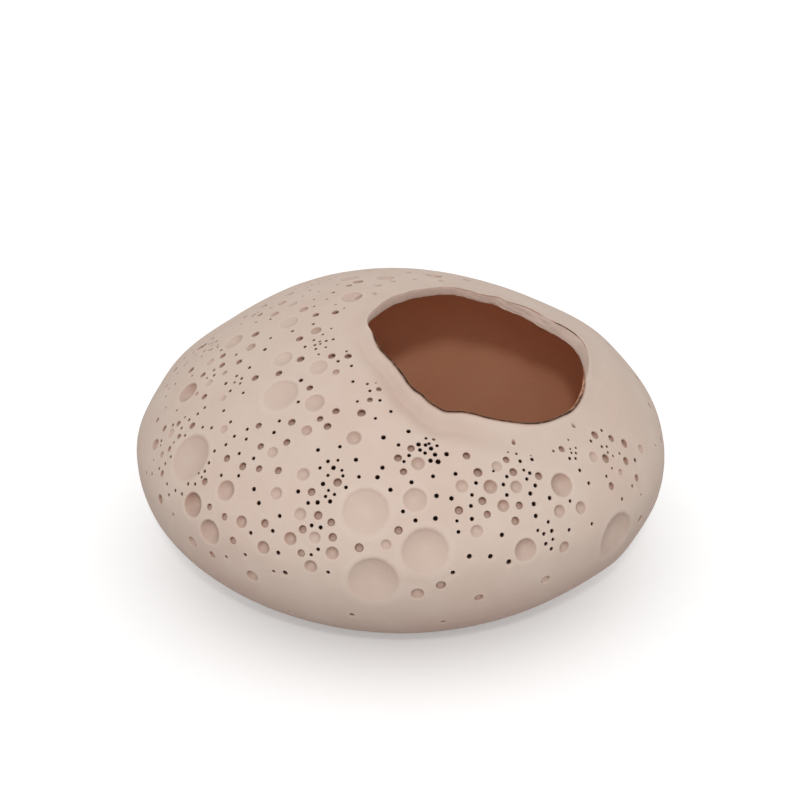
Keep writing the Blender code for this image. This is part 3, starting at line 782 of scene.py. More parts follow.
# Pixel across and down, diameter and depth in millimetres, and how much brown it bares
PRESSES = (
    (189, 457, 25, 1.2, 0.12), (280, 394, 19, 0.9, 0.04), (365.5, 511.5, 23, 1.1, 0.05),
    (425.5, 552, 23, 1.8, 0.08), (373, 582, 25, 2, 0.08), (617, 536, 25, 2, 0.12),
    (192, 505, 12.8, 2.8, 0.5), (209, 532.5, 13, 2.4, 0.35), (186.5, 391.5, 12.5, 2, 0.38),
    (415, 500, 11.8, 1.4, 0.12), (562.5, 485, 12.5, 1.8, 0.35), (526, 550.5, 12, 1.6, 0.3),
    (225, 490.5, 10.4, 1.6, 0.3), (314.5, 403, 10.5, 1, 0.15), (282, 357.5, 10.5, 0.9, 0.05),
    (233, 341, 11, 1.2, 0.12), (288.5, 322, 10, 0.5, 0.05), (318, 367, 10, 0.6, 0.08),
    (351.5, 296.5, 11.5, 0.9, 0.15), (349.5, 278.5, 10.5, 0.9, 0.18), (385.5, 277, 10, 1.1, 0.22),
    (434, 275, 9.5, 1.1, 0.25),
)
PRESSES_BEHIND = (  # guessed: the same, from bearing and latitude in degrees
    (131, 7, 24, 1.8, 0.1), (77, -3, 23, 1.9, 0.1), (106, 34, 24, 1.1, 0.05), (24, 11, 24, 1.8, 0.1),
    (58, 38, 12.5, 1.8, 0.3), (153, 22, 12, 2, 0.35),
)
SCOOPS = (  # pixel across and down, diameter, brown
    (154.5, 444.5, 6.4, 0.4), (192.5, 542.5, 6.4, 0.3), (241, 522, 6.3, 0.45), (252, 576.5, 6.6, 0.4),
    (222.5, 428.5, 4.6, 0.05), (272, 452, 5.9, 0.06), (276, 493.5, 6.3, 0.08), (263, 548, 6.8, 0.45),
    (290, 539, 6.6, 0.45), (310.5, 567, 6.6, 0.35), (300, 514.5, 6.2, 0.08), (314.5, 538, 6, 0.05),
    (332, 553.5, 6.6, 0.35), (303, 474.5, 6.6, 0.08), (306.5, 430.5, 5.8, 0.22), (354, 438.5, 7.5, 0.15),
    (386, 545, 5.2, 0.08), (417.5, 594.5, 6.5, 0.35), (418, 464, 6.8, 0.22), (462, 486.5, 6.5, 0.08),
    (477, 531.5, 6.3, 0.08), (490.5, 487, 7.2, 0.4), (503.5, 506, 6.2, 0.4), (497, 466.5, 5.5, 0.06),
    (516.5, 487, 6.4, 0.2), (560, 511.5, 6.6, 0.25), (564.5, 547.5, 6, 0.35), (581.5, 508, 6.6, 0.25),
    (595, 456.5, 5.8, 0.06), (642, 449, 5, 0.2), (250, 346, 5.6, 0.3), (315.5, 329.5, 6, 0.3),
    (274.5, 314, 5, 0.3), (282, 303, 5, 0.3), (303.5, 309, 5.2, 0.3), (169.8, 433, 5, 0.05),
    (209.5, 361, 5, 0.06), (208, 381.5, 4.5, 0.05), (293, 304, 5, 0.05), (222, 397, 3.6, 0.05),
    (358, 281.8, 5.8, 0.6), (467, 279.6, 5, 0.35), (378, 285, 4, 0.2), (389, 277.2, 4.6, 0.55),
    (438.5, 275.3, 4.6, 0.55), (358, 295.5, 4.5, 0.3),
)
SCOOPS_BEHIND = (  # guessed
    (145, 38, 7, 0.35), (117, 21, 6.8, 0.1), (102, 5, 7, 0.4), (90, 21, 6.6, 0.3), (66, 13, 7.2, 0.4),
    (47, 27, 6.8, 0.1), (40, -2, 6.6, 0.3), (158, -3, 6.5, 0.4), (121, 48, 7, 0.1), (7, 22, 6, 0.25),
)
PITS = (  # pixel across and down, diameter
    (255, 333.5, 4.5), (222, 355, 3.8), (221, 364, 3.8), (238, 360.5, 3.6), (202, 374, 3.6),
    (190.5, 369.5, 4.2), (203, 395.5, 3.6), (191, 425, 3.9), (177.5, 423, 3.2), (163.5, 428, 3.6),
    (178, 436, 3), (168.5, 448.5, 3), (161.5, 473.5, 3.4), (160, 499.5, 5.2), (156.5, 419.5, 3),
    (300, 358, 4.3), (299, 337.5, 4), (278, 372, 3.8), (254, 376.5, 4), (335, 311.5, 4), (315.5, 314, 3.6),
    (331.5, 355.5, 4), (348, 356, 3.8), (309.5, 387.5, 3.5), (327.5, 426.5, 3.9), (336, 411.5, 3.7),
    (361.5, 413.5, 4.3), (370, 400.5, 2.9), (379, 389.5, 3), (258, 425, 3.5), (291.5, 422, 4),
    (286.5, 442, 3.7), (260, 446, 3.6), (226, 458, 3.9), (242, 466, 4.1), (258.5, 468.5, 3.6),
    (278, 470.5, 3.8), (204, 481.5, 3.8), (209, 507, 3.4), (224, 517, 3.6), (264.5, 523.5, 4.2),
    (212, 555, 4), (232.5, 541, 4), (311.5, 492, 3.9), (337.5, 482.5, 4.2), (318, 515.5, 4.2),
    (302.5, 529.5, 4), (331, 522.5, 3.8), (332.5, 537.5, 4.1), (301, 553.5, 3.8), (359, 548, 4.3),
    (398.5, 530.5, 4), (398, 458.5, 3.8), (411, 449, 3.6), (403.5, 472, 3.5), (441, 586, 4.8),
    (479, 598, 4.4), (466.5, 456, 3.8), (478, 472.5, 4.5), (482.5, 501, 4), (459, 510.5, 4.1),
    (487.5, 514.5, 3.6), (515, 441.5, 3.6), (506.5, 459.5, 3.5), (513.5, 472, 4.1), (539, 476, 4),
    (519.5, 505.5, 3.8), (515.5, 521, 4.1), (563, 448, 3.8), (596.5, 434, 4.5), (607, 458, 4.8),
    (612.5, 438, 4), (625.5, 443, 4.8), (627, 461, 4.5), (637.5, 478, 3.8), (612.5, 486, 4),
    (640, 519.5, 4.6), (175, 369, 3.8), (203.5, 345, 4), (260, 314.5, 3.4), (264.5, 306, 3),
    (349, 285.6, 3.5), (409, 272.2, 3.3), (320, 419, 3.3),
)
FILLED_PITS = (  # pits that the slip has half filled
    (223.5, 371.5, 3.2), (161, 454.5, 3.6), (545.5, 580, 5), (621.5, 472, 3.2), (336, 372, 3.6),
    (244.5, 316.5, 3.4), (212, 338, 3), (165.5, 386, 3), (290.5, 294, 4.2), (195.5, 393, 2.6),
    (392.5, 280.8, 3.4), (415, 278.6, 2.8), (441, 279.9, 2.8), (374.6, 292.6, 2.8), (369, 271.6, 2.8),
)
PITS_BEHIND = (  # guessed
    (177, 30, 3.8), (174.5, 38.5, 4), (171, 12, 3.8), (163, 7, 4), (147, 28, 3.6), (143, 12, 4.2),
    (134, 27, 3.8), (124, 34, 4), (119, 10, 3.8), (109, 14, 4), (97, 13, 4.2), (78, 19, 4), (70, 27, 3.8),
    (56, 10, 4.2), (51, 18, 3.6), (32, 28, 3.6), (16, 31, 3.4), (-3, 19, 3.6), (-9, 9, 4), (76, 47, 4),
)
FILLED_PITS_BEHIND = (
    (168.5, 53, 3.4), (160, 54, 3), (83, 28, 3.6), (38, 18, 4), (92, 54, 3.8), (134, 52, 3.6),
)
# Pinholes: pixel across and down, and diameter in millimetres
PINHOLES = (
    (310, 290.7, 1.4), (333, 292.4, 1.8), (344, 307.5, 1), (318.5, 284.3, 1.2), (337, 285, 1.4),
    (329.5, 280, 1.4), (258, 312, 1), (373.5, 376.5, 1), (211.5, 345, 1), (217.5, 344.5, 1),
    (195.5, 354.5, 1), (201.5, 356, 1.1), (187, 362, 1), (285.5, 295.5, 1), (295.5, 289, 1), (305, 286, 1),
    (303, 296.5, 1.1), (319, 292, 1), (314, 299.5, 1.2), (327, 299, 1.2), (334, 292.5, 1), (270, 319, 1.5),
    (271, 308, 1.2), (314, 306, 1.2), (335.5, 304, 1), (240.5, 323.5, 1.1), (256, 322, 1.2),
    (270, 337, 1.5), (292, 330, 1.5), (313, 323, 1.5), (313.5, 339, 1.3), (322.5, 333.5, 1.2),
    (331, 327.5, 1), (333, 338.5, 1.4), (204, 350.5, 1.5), (211, 349, 1.5), (235.5, 353.5, 1.5),
    (264, 348, 2), (304.5, 345.5, 1.5), (314.5, 344, 1.3), (315.5, 348, 1.3), (318.5, 353.5, 1.1),
    (319.5, 340.5, 1.1), (320, 343, 1.1), (325.5, 346.5, 1.1), (326, 340, 1.3), (346.5, 351, 1.1),
    (357, 351, 1.3), (177, 373, 1.1), (191.5, 375, 1.2), (206, 377, 1.1), (213, 369, 1.5), (213, 374, 1.5),
    (235.5, 374.5, 1.5), (240.5, 377, 1.5), (248.5, 366, 1.7), (300.5, 379.5, 2), (338, 361, 1.5),
    (351.5, 366, 1.4), (379, 376, 1.2), (165, 396, 1.2), (168.5, 388, 1.1), (174.5, 383.5, 1.5),
    (224.5, 382, 1.8), (229, 389.5, 1.5), (233.5, 381, 1.2), (239, 382, 1.3), (242, 391.5, 1.5),
    (353, 382, 1.4), (367.5, 384.5, 1.2), (370, 391.5, 1.3), (376, 383, 1.1), (391, 386, 1.3),
    (165, 407, 1), (176, 409.5, 1.2), (184, 416.5, 1.1), (188, 419, 1.5), (196.5, 413, 1.5),
    (203.5, 406.5, 1.5), (222.5, 409.5, 1.5), (298, 401.5, 1.5), (357.5, 402, 1.2), (375.5, 419, 1.3),
    (380, 401, 1.4), (391, 412, 1.5), (172, 424.5, 1.5), (180.5, 427.5, 1.5), (184, 435, 1.5),
    (201.5, 426.5, 1.5), (210.5, 427, 1.5), (229.5, 421, 1.5), (233.5, 435.5, 1.5), (245.5, 438.5, 1.5),
    (246.5, 428.5, 1.5), (273.5, 432, 1.7), (279, 420.5, 1.5), (383.5, 438, 2), (408.5, 432, 1.8),
    (426, 438.5, 1.5), (434, 439, 2), (442.5, 436, 1.4), (570, 438.5, 1.5), (575.5, 425, 1.7),
    (592.5, 440, 1.6), (603, 429.5, 1.5), (160, 445, 1), (160.5, 440.5, 1.5), (170, 456.5, 1.5),
    (173, 442, 1.1), (213.5, 450.5, 1.5), (225, 444, 1.5), (238.5, 453, 1.5), (253, 458, 1.6),
    (318, 450, 1.7), (340, 447, 1.5), (398.5, 445.5, 1.5), (409, 456, 1.5), (418.5, 445, 1.9),
    (420, 450.5, 1.6), (425, 453.5, 1.5), (425.5, 445.5, 1.6), (429, 444, 1.3), (431, 449, 1.9),
    (435, 455, 1.9), (437, 446, 1.4), (446.5, 454.5, 2), (508.5, 451, 1.6), (517, 453, 1.6),
    (524, 448, 1.5), (527, 441.5, 1.5), (531.5, 455, 1), (532.5, 459, 1.7), (554.5, 450, 1.7),
    (570.5, 458, 1.5), (571.5, 448, 1.2), (572.5, 452, 1.2), (576.5, 458, 1.3), (577, 452.5, 1.2),
    (577, 447, 1.2), (603, 446, 1.4), (608, 446, 1.3), (609, 452, 1.2), (614, 455.5, 1.1),
    (620.5, 453, 1.3), (655.5, 445, 1.2), (146, 473, 1.5), (151.5, 474, 1.5), (153, 460, 1),
    (158.5, 468.5, 1.5), (164.5, 463.5, 1.5), (198, 473, 1.1), (201, 477, 1.2), (204, 471, 1.5),
    (208, 462.5, 1.5), (220.5, 475, 1.5), (238, 475.5, 1.5), (320, 468, 1.4), (328, 461.5, 1.6),
    (328, 475.5, 1.3), (333.5, 468, 2), (338, 460.5, 1.2), (342, 470.5, 1.2), (343, 476, 1.3),
    (356, 460, 1.8), (359, 477, 1.5), (377.5, 477.5, 1.9), (382.5, 468, 1.8), (404, 462, 1.3),
    (430.5, 461, 1.9), (433, 476.5, 1.6), (438, 462, 2.2), (455.5, 474, 1.7), (493.5, 471, 1.1),
    (507, 476.5, 1.5), (520.5, 461, 1.6), (524, 470, 1.3), (527, 479, 1.5), (530, 473, 1.6),
    (580.5, 470, 1.6), (607.5, 476, 1.4), (613, 468, 1.1), (636, 460, 2), (148.5, 496, 1.2),
    (166.5, 484, 1.5), (168.5, 495, 1.5), (175, 490.5, 1.5), (181.5, 494, 1.5), (187.5, 484, 1.6),
    (194.5, 484, 1.5), (253.5, 489, 1.9), (298, 491.5, 1.8), (323, 484, 1.9), (325.5, 496.5, 1.4),
    (328.5, 490.5, 1.2), (334.5, 494.5, 1.3), (346, 487.5, 1.5), (390.5, 490, 1.8), (411.5, 482.5, 1.7),
    (436.5, 496, 1.9), (451.5, 498.5, 1.9), (472, 495, 1.5), (476, 483, 1.6), (503.5, 484.5, 1.6),
    (507, 495, 1.6), (530.5, 493.5, 1.9), (535.5, 485.5, 1.8), (550, 498, 1.9), (589.5, 483, 1.6),
    (623, 499, 1.6), (633, 486, 1.6), (641.5, 494.5, 1), (654, 492, 1), (173, 514.5, 1.5),
    (258.5, 503, 1.9), (279.5, 516, 1.7), (308, 503, 1.6), (317.5, 502.5, 1.9), (330, 501.5, 1.8),
    (403, 511.5, 1.6), (435.5, 518.5, 2), (471, 506, 1.6), (472, 519, 1.7), (534, 504, 2), (536, 516, 1.9),
    (570.5, 501, 1.5), (250.5, 533, 1.7), (272.5, 531, 1.7), (311.5, 525.5, 1.6), (320.5, 527.5, 1.7),
    (415.5, 520.5, 1.7), (457, 521, 1.3), (458.5, 532, 1.5), (502, 535, 1.9), (538, 530.5, 1.4),
    (544, 534, 1.6), (548.5, 522, 1.5), (552, 531, 1.8), (553, 539.5, 1.4), (569.5, 530, 1.6),
    (592.5, 524, 1.6), (226, 557, 1.5), (245, 555, 1.6), (278, 553, 1.9), (311, 555, 1.4),
    (318, 549.5, 1.5), (469.5, 556.5, 2.1), (490.5, 556.5, 2.1), (546, 544, 1.7), (551.5, 549, 1.7),
    (273.5, 571.5, 1.4), (285, 573, 2.2), (328, 572.5, 1.6), (453, 573, 1.9), (509, 562, 2.3),
)
BALL_DEPTH = 1.5  # times the depths above
BALL_BARES = 0.06  # more than the shares above
SCOOP_DEPTH = 0.25  # of the diameter
SCOOP_BARES = 0.17  # more than the shares above
STICK_DEPTH = 0.45  # of the diameter
STICK_BARES = 0.95
FILLED_DEPTH = 0.25  # of the diameter
FILLED_BARES = 0.55

# The mouth, torn into the dome off its middle: its edge as the photograph shows it, from the far left corner
# round the front. The rows after it tell how the edge is made, by the angle about the mouth's middle, in
# degrees and millimetres, with the painted shadow line and the painted shade on the inner slip as shares
MOUTH_CENTRE = (0.042, -0.032)
LIP_SEEN = (
    (367, 325), (372, 332.5), (375, 340), (379, 347.5), (386, 355), (392.5, 361.5), (398.5, 369),
    (404, 376.5), (408.5, 384), (415, 391), (422.5, 395.5), (428.5, 402), (435, 406.5), (444, 412),
    (453.5, 412.5), (464, 412.5), (474, 414), (488, 418), (499, 420), (510, 421.5), (522, 423),
    (536.5, 423), (549, 420.5), (560, 416), (568, 412.5), (575.5, 406.5), (580.5, 398.5), (584, 390),
    (586.5, 378.5), (588.5, 367.5), (588.5, 356.5), (587, 347.5), (582.5, 339.5), (575, 332.5), (567, 327),
    (557.5, 322.5), (547.5, 317.5), (538, 312), (527, 306.5), (517, 303.5), (508, 301), (500, 297),
    (490, 295), (480, 293.5), (472, 291), (459, 287.5), (442, 286.5), (431.5, 287.5), (421, 289),
    (411.5, 290), (403.5, 293), (392.5, 296), (383.5, 301), (376.5, 307), (370, 313), (366.5, 318.5),
)
LIP_ROWS = (  # the angle, and then the columns named below
    (-178, 1.8, 1.6, 1.2, 6.0, 0.3, 0.10, 0.0, 1.0, 0.3, 9.0),
    (-160, 1.8, 2.3, 2.2, 5.5, -0.3, 0.10, 0.0, 1.0, 0.3, 8.0),
    (-140, 1.8, 2.7, 3.2, 6.0, -0.3, 0.12, 0.0, 1.0, 0.3, 5.8),
    (-115, 1.8, 2.7, 3.2, 7.5, -0.3, 0.15, 0.0, 1.0, 0.3, 8.0),
    (-95, 2.0, 2.0, 2.2, 8.5, -0.3, 0.15, 0.0, 1.0, 0.3, 6.0),
    (-70, 2.2, 1.2, 1.1, 9.0, -0.3, 0.10, 0.0, 1.0, 0.3, 5.2),
    (-40, 2.2, 0.8, 0.5, 9.0, -0.2, 0.05, 0.0, 1.0, 0.3, 2.6),
    (-10, 2.0, 0.8, 0.3, 9.0, 0.0, 0.05, 0.1, 0.9, 0.3, 7.0),
    (10, 3.0, 0.8, 0.3, 9.0, 2.2, 0.05, 0.3, 0.7, 0.3, 9.0),
    (25, 6.0, 0.8, 0.3, 9.0, 6.5, 0.15, 0.5, 0.0, 0.2, 9.0),
    (42, 7.6, 0.8, 0.3, 9.0, 9.0, 0.20, 0.7, 0.0, 0.2, 9.0),
    (58, 6.4, 0.7, 0.3, 9.0, 7.2, 0.45, 0.7, 0.0, 0.2, 9.0),
    (78, 5.2, 0.6, 0.3, 9.0, 5.2, 0.50, 0.6, 0.0, 0.3, 9.0),
    (100, 4.6, 0.5, 0.3, 9.0, 4.4, 0.30, 0.4, 0.1, 0.4, 9.0),
    (130, 5.0, 0.5, 0.4, 8.0, 5.2, 0.12, 0.0, 0.8, 0.4, 9.0),
    (158, 6.0, 0.7, 0.5, 7.0, 6.2, 0.10, 0.0, 1.0, 0.3, 9.0),
    (171, 4.6, 1.2, 0.8, 6.0, 4.4, 0.10, 0.0, 1.0, 0.3, 9.0),
)
LIP_COLUMNS = (
    "thickness", "curl", "valley", "valley_at", "slip_width", "tearing", "crack", "shadow_line", "inner_shade",
    "strip",
)
LIP_SHARES = ("shadow_line", "inner_shade")
CURL_WIDTH = 0.0034
VALLEY_WIDTH = 0.0050
CRACK_AT = 0.0005
CRACK_WIDTH = 0.00040
CRACK_BARES = 1.5
CRACK_BROKEN = 0.55  # higher is less broken
CRACK_WAVELENGTH = 0.012
TEAR_WAVELENGTH = 0.0055
THINNING = 0.014  # the wall thins towards the lip over this width
VALLEY_SHADE = 0.16  # painted shade: the slip is darkened by this share in the deepest valley
LIP_STEPS = 1440
ROWS_SOFTNESS = 7  # degrees over which the corners between the rows are softened
LINE_SOFTNESS = 1.6  # and those of the edge's line
BELL_REACH = 3  # the softening looks this many times as far to each side
lip_degrees = np.arange(LIP_STEPS) * 360 / LIP_STEPS - 180


def round_the_mouth(angles, values, softness):
    """Values at even steps round the mouth, from a few angles in degrees, with their corners softened."""
    order = np.argsort(angles)
    evenly = np.interp(lip_degrees, np.array(angles)[order], np.array(values)[order], period=360)
    reach = int(softness * BELL_REACH * LIP_STEPS / 360)
    weights = np.exp(-((np.arange(-reach, reach + 1) * 360 / LIP_STEPS / softness) ** 2))
    wrapped = np.concatenate((evenly[-reach:], evenly, evenly[:reach]))
    return np.convolve(wrapped, weights / weights.sum(), "valid")


def at_angle(steps_round, angle):
    """The values at angles in radians, from even steps round the mouth."""
    return np.interp(np.degrees(angle), lip_degrees, steps_round, period=360)


def about_mouth(bearing, latitude):
    """Plan distances and angles about the mouth's middle."""
    places = form(bearing, latitude)
    x, y = places[:, 0] - MOUTH_CENTRE[0], places[:, 1] - MOUTH_CENTRE[1]
    return np.hypot(x, y), np.arctan2(y, x)


lip_make = {}
for number, column in enumerate(LIP_COLUMNS):
    values = [row[number + 1] / (1 if column in LIP_SHARES else 1000) for row in LIP_ROWS]
    lip_make[column] = round_the_mouth([row[0] for row in LIP_ROWS], values, ROWS_SOFTNESS)
lip_seen = seen_at(LIP_SEEN)
for _ in range(3):  # the edge stands off the form, which shifts the place that a pixel shows
    _, angle = about_mouth(*lip_seen)
    columns = ("curl", "valley", "valley_at")
    curl, valley, valley_at = (at_angle(lip_make[column], angle) for column in columns)
    drawn = curl - valley * np.exp(-((valley_at / VALLEY_WIDTH) ** 2))
    stands = (hand_skin(*lip_seen, lift=drawn) - form(*lip_seen)) * outward(*lip_seen)
    lip_seen = seen_at(LIP_SEEN, stands.sum(1))
reach, angle = about_mouth(*lip_seen)
lip_radius = round_the_mouth(np.degrees(angle), reach, LINE_SOFTNESS)
around_lip = FULL_TURN * np.arange(LIP_STEPS) / LIP_STEPS - math.pi
lip_line = np.stack((np.cos(around_lip), np.sin(around_lip), np.zeros(LIP_STEPS)), -1) * lip_radius[:, None]
lip_radius = lip_radius + lip_make["tearing"] * waver(lip_line, TEAR_WAVELENGTH, 5)


def from_above(x, y):
    """Bearings and latitudes of places on the dome, from their plan."""
    half_length, half_depth, _, _ = half_sizes(False)
    level = np.ones_like(x)
    for _ in range(6):  # the crown's lean depends on the height, so the two are found in turns
        reach = np.hypot((x - CROWN_LEAN * level) / half_length, y / half_depth)
        level = np.clip(1 - reach**DOME_FULLNESS, 0, 1) ** (1 / DOME_FULLNESS)
    latitude = np.arctan2(level ** (DOME_FULLNESS / 2), reach ** (DOME_FULLNESS / 2))
    return np.arctan2(y / half_depth, (x - CROWN_LEAN * level) / half_length), latitude


def lip_away(bearing, latitude):
    """How far outside the lip places on the dome lie, seen from above, and their angles about the mouth."""
    reach, angle = about_mouth(bearing, latitude)
    return reach - at_angle(lip_radius, angle), angle


def dome_skin(bearing, latitude, inside=False):
    """The dome's wall: curled up along the lip with a shallow valley outside it, and thinned towards it."""
    away, angle = lip_away(bearing, latitude)
    made = {column: at_angle(values, angle) for column, values in lip_make.items()}
    lift = made["curl"] * np.exp(-((away / CURL_WIDTH) ** 2))
    lift -= made["valley"] * np.exp(-(((away - made["valley_at"]) / VALLEY_WIDTH) ** 2))
    if not inside:
        lift -= made["crack"] * np.exp(-(((away - CRACK_AT) / CRACK_WIDTH) ** 2))
    share = np.clip(away / THINNING, 0, 1)
    share = share * share * (3 - 2 * share)
    thin = made["thickness"] / WALL
    lift = np.where(latitude > 0, lift, 0)
    thickness = np.where(latitude > 0, thin + (1 - thin) * share, 1)
    return hand_skin(bearing, latitude, inside, lift, thickness)


def valley_shade(bearing, latitude):
    """The painted shade in the valley outside the lip, as a share of wear."""
    away, angle = lip_away(bearing, latitude)
    valley, at = (at_angle(lip_make[column], angle) for column in ("valley", "valley_at"))
    wear_and_painted_light = VALLEY_SHADE * valley / max(lip_make["valley"]) * np.exp(-(((away - at) / VALLEY_WIDTH) ** 2))
    return np.where(latitude > 0, wear_and_painted_light, 0)


STRIP_AROUND = 600
strip_turns = FULL_TURN * np.arange(STRIP_AROUND) / STRIP_AROUND


def round_mouth_at(reach):
    """Bearings and latitudes of a row of places round the mouth, at these plan distances from its middle."""
    x = MOUTH_CENTRE[0] + reach * np.cos(strip_turns)
    y = MOUTH_CENTRE[1] + reach * np.sin(strip_turns)
    return from_above(x, y)


def lip_rim(width):
    """Rows of the chart that run round the mouth, by their distance outside the strip."""
    return to_chart(*round_mouth_at(at_angle(lip_radius + lip_make["strip"], strip_turns) + width))


def dome_holds(bearing, latitude, margin):
    """Whether places lie on the dome, this far from its edges."""
    away, angle = lip_away(bearing, latitude)
    clear_of_strip = (latitude <= 0) | (away > at_angle(lip_make["strip"], angle) + margin)
    return clear_of_strip & (along(latitude) < along(SEAM) - margin)


def pressed_marks(tool, seen, hidden, depths, bares):
    """Marks from rows of the photograph's pixels and rows of bearings and latitudes."""
    seen, hidden = np.array(seen), np.array(hidden)
    bearings, levels = seen_at(seen[:, :2])
    bearings = np.concatenate((bearings, np.radians(hidden[:, 0])))
    levels = np.concatenate((levels, np.radians(hidden[:, 1])))
    return marks_at(tool, bearings, levels, np.concatenate((seen, hidden))[:, 2], depths, bares)


dome_marks = needle_marks(PINHOLES)
_, _, _, depths, bares = np.array(PRESSES + PRESSES_BEHIND).T
dome_marks += pressed_marks(BALL, PRESSES, PRESSES_BEHIND, depths * BALL_DEPTH, bares + BALL_BARES)
_, _, diameters, bares = np.array(SCOOPS + SCOOPS_BEHIND).T
dome_marks += pressed_marks(SCOOP, SCOOPS, SCOOPS_BEHIND, diameters * SCOOP_DEPTH, bares + SCOOP_BARES)
_, _, diameters = np.array(PITS + PITS_BEHIND).T
dome_marks += pressed_marks(STICK, PITS, PITS_BEHIND, diameters * STICK_DEPTH, STICK_BARES)
_, _, diameters = np.array(FILLED_PITS + FILLED_PITS_BEHIND).T
dome_marks += pressed_marks(STICK, FILLED_PITS, FILLED_PITS_BEHIND, diameters * FILLED_DEPTH, FILLED_BARES)

# Pinholes on the hidden sides are guessed: loose clusters like those in front, each kept clear of other marks
CLUSTERS_BEHIND = (  # bearing, latitude, spread in degrees, pinholes
    (20, 16, 11, 9), (30, 2, 9, 7), (45, 12, 10, 9), (62, 26, 10, 10), (74, 8, 10, 9), (86, 36, 9, 9),
    (98, 20, 11, 10), (110, 4, 9, 7), (122, 28, 10, 11), (138, 14, 10, 9), (150, 34, 8, 9), (158, 14, 9, 8),
    (168, 26, 9, 9), (178, 42, 8, 9), (178, 6, 9, 8), (135, 60, 8, 7), (70, 58, 8, 6), (108, 52, 9, 7),
)
PINHOLE_DIAMETERS = (1.2, 1.9)
PINHOLE_ROOM = 0.0004
chance = np.random.default_rng(7)
for bearing, latitude, spread, count in CLUSTERS_BEHIND:
    for _ in range(count):
        shift = chance.normal(0, spread / 2, 2)
        level = math.radians(latitude + shift[1])
        turned = math.radians(bearing + shift[0] / math.cos(level))
        diameter = chance.uniform(*PINHOLE_DIAMETERS)
        mark = marks_at(NEEDLE, [turned], [level], diameter, NEEDLE_DEPTH, NEEDLE_BARES_AND_SHADE)[0]
        place = form(np.array([turned]), np.array([level]))
        sizes = [(made.bearing, made.latitude, made.radius) for made in dome_marks]
        bearings, levels, radii = np.array(sizes).T
        room = np.linalg.norm(form(bearings, levels) - place, axis=1) - radii
        if room.min() > mark.radius + PINHOLE_ROOM:
            dome_marks.append(mark)
CLEAR_OF_EDGE = 0.0008
dome_marks = [
    mark for mark in dome_marks
    if dome_holds(np.array([mark.bearing]), np.array([mark.latitude]), mark.radius + CLEAR_OF_EDGE)[0]
]

bm = start_wall()
rims = [lip_rim, level_rim(SEAM, False)]
outer = add_sheet(bm, dome_skin, rims, dome_holds, SHEET_SPACING, dome_marks, wear_and_painted_light=valley_shade)
inner = add_sheet(bm, dome_skin, rims, dome_holds, INNER_SPACING, inside=True)
for outer_rim, inner_rim in zip(outer, inner):
    join_rings(bm, outer_rim, inner_rim)
finish_wall("slipped_dome", bm, dome_marks, clay, "upper_dome")


# The strip round the mouth
# A strip of the same clay, luted on and drawn out thin between wet fingers. It curls up into a thin edge
# at the front, rolls over at the back left, and is torn along the back right, where slip runs down inside.

# Rows along the strip, as shares of its width from the edge
OUTER_ROWS = (
    1.0, 0.98, 0.93, 0.85, 0.77, 0.68, 0.59, 0.51, 0.44, 0.38, 0.32, 0.27, 0.22, 0.18, 0.145, 0.11, 0.08,
    0.05, 0.02, 0.0,
)
INNER_ROWS = (0.0, 0.04, 0.10, 0.17, 0.25, 0.34, 0.42, 0.51, 0.60, 0.69, 0.78, 0.86, 0.93, 0.98, 1.0)
EDGE_ROWS = 14
EDGE_BULGE = 0.0006  # how far the edge is rounded out between its corners
LAYERS_APART = 0.004
CREST_SLIP_AND_HIGHLIGHT = 0.8  # how thick the slip gathers just outside the edge, painted chalky and lighter: partly slip, partly a painted highlight where the curled lip catches the light
CREST_SLIP_AND_HIGHLIGHT_WIDTH = 0.0020
SHADOW_LINE = 1.25  # painted shadow line: where the slip ends, the clay is painted dark in a line this strong, as shade along the edge
SHADOW_ON_SLIP_WIDTH = 0.0006  # on the slip's side
SHADOW_ON_CLAY_WIDTH = 0.0040  # and on the clay's


def strip_places(share):
    """Bearings and latitudes of a row along the strip, at a share of its width from the edge."""
    return round_mouth_at(at_angle(lip_radius, strip_turns) + share * strip_width)


bm = start_wall()
strip_width = at_angle(lip_make["strip"], strip_turns)
slip_width = at_angle(lip_make["slip_width"], strip_turns)
cracked = at_angle(lip_make["crack"], strip_turns) / max(lip_make["crack"])
cracked *= np.clip(CRACK_BROKEN + waver(dome_skin(*strip_places(0.0)), CRACK_WAVELENGTH, 8), 0, 1)
# How strongly the shadow line is painted round the mouth; it also sets the painted highlight on the crest
shadow_and_highlight_lines = at_angle(lip_make["shadow_line"], strip_turns)
shaded_inside = at_angle(lip_make["inner_shade"], strip_turns)
rings, past, wear_and_painted_light, path = [], [], [], np.zeros(STRIP_AROUND)


def painted_shadow_line(past_slip):
    """How dark the painted shadow line is where the slip ends."""
    width = np.where(past_slip > 0, SHADOW_ON_CLAY_WIDTH, SHADOW_ON_SLIP_WIDTH)
    return SHADOW_LINE * shadow_and_highlight_lines * np.exp(-((past_slip / width) ** 2))


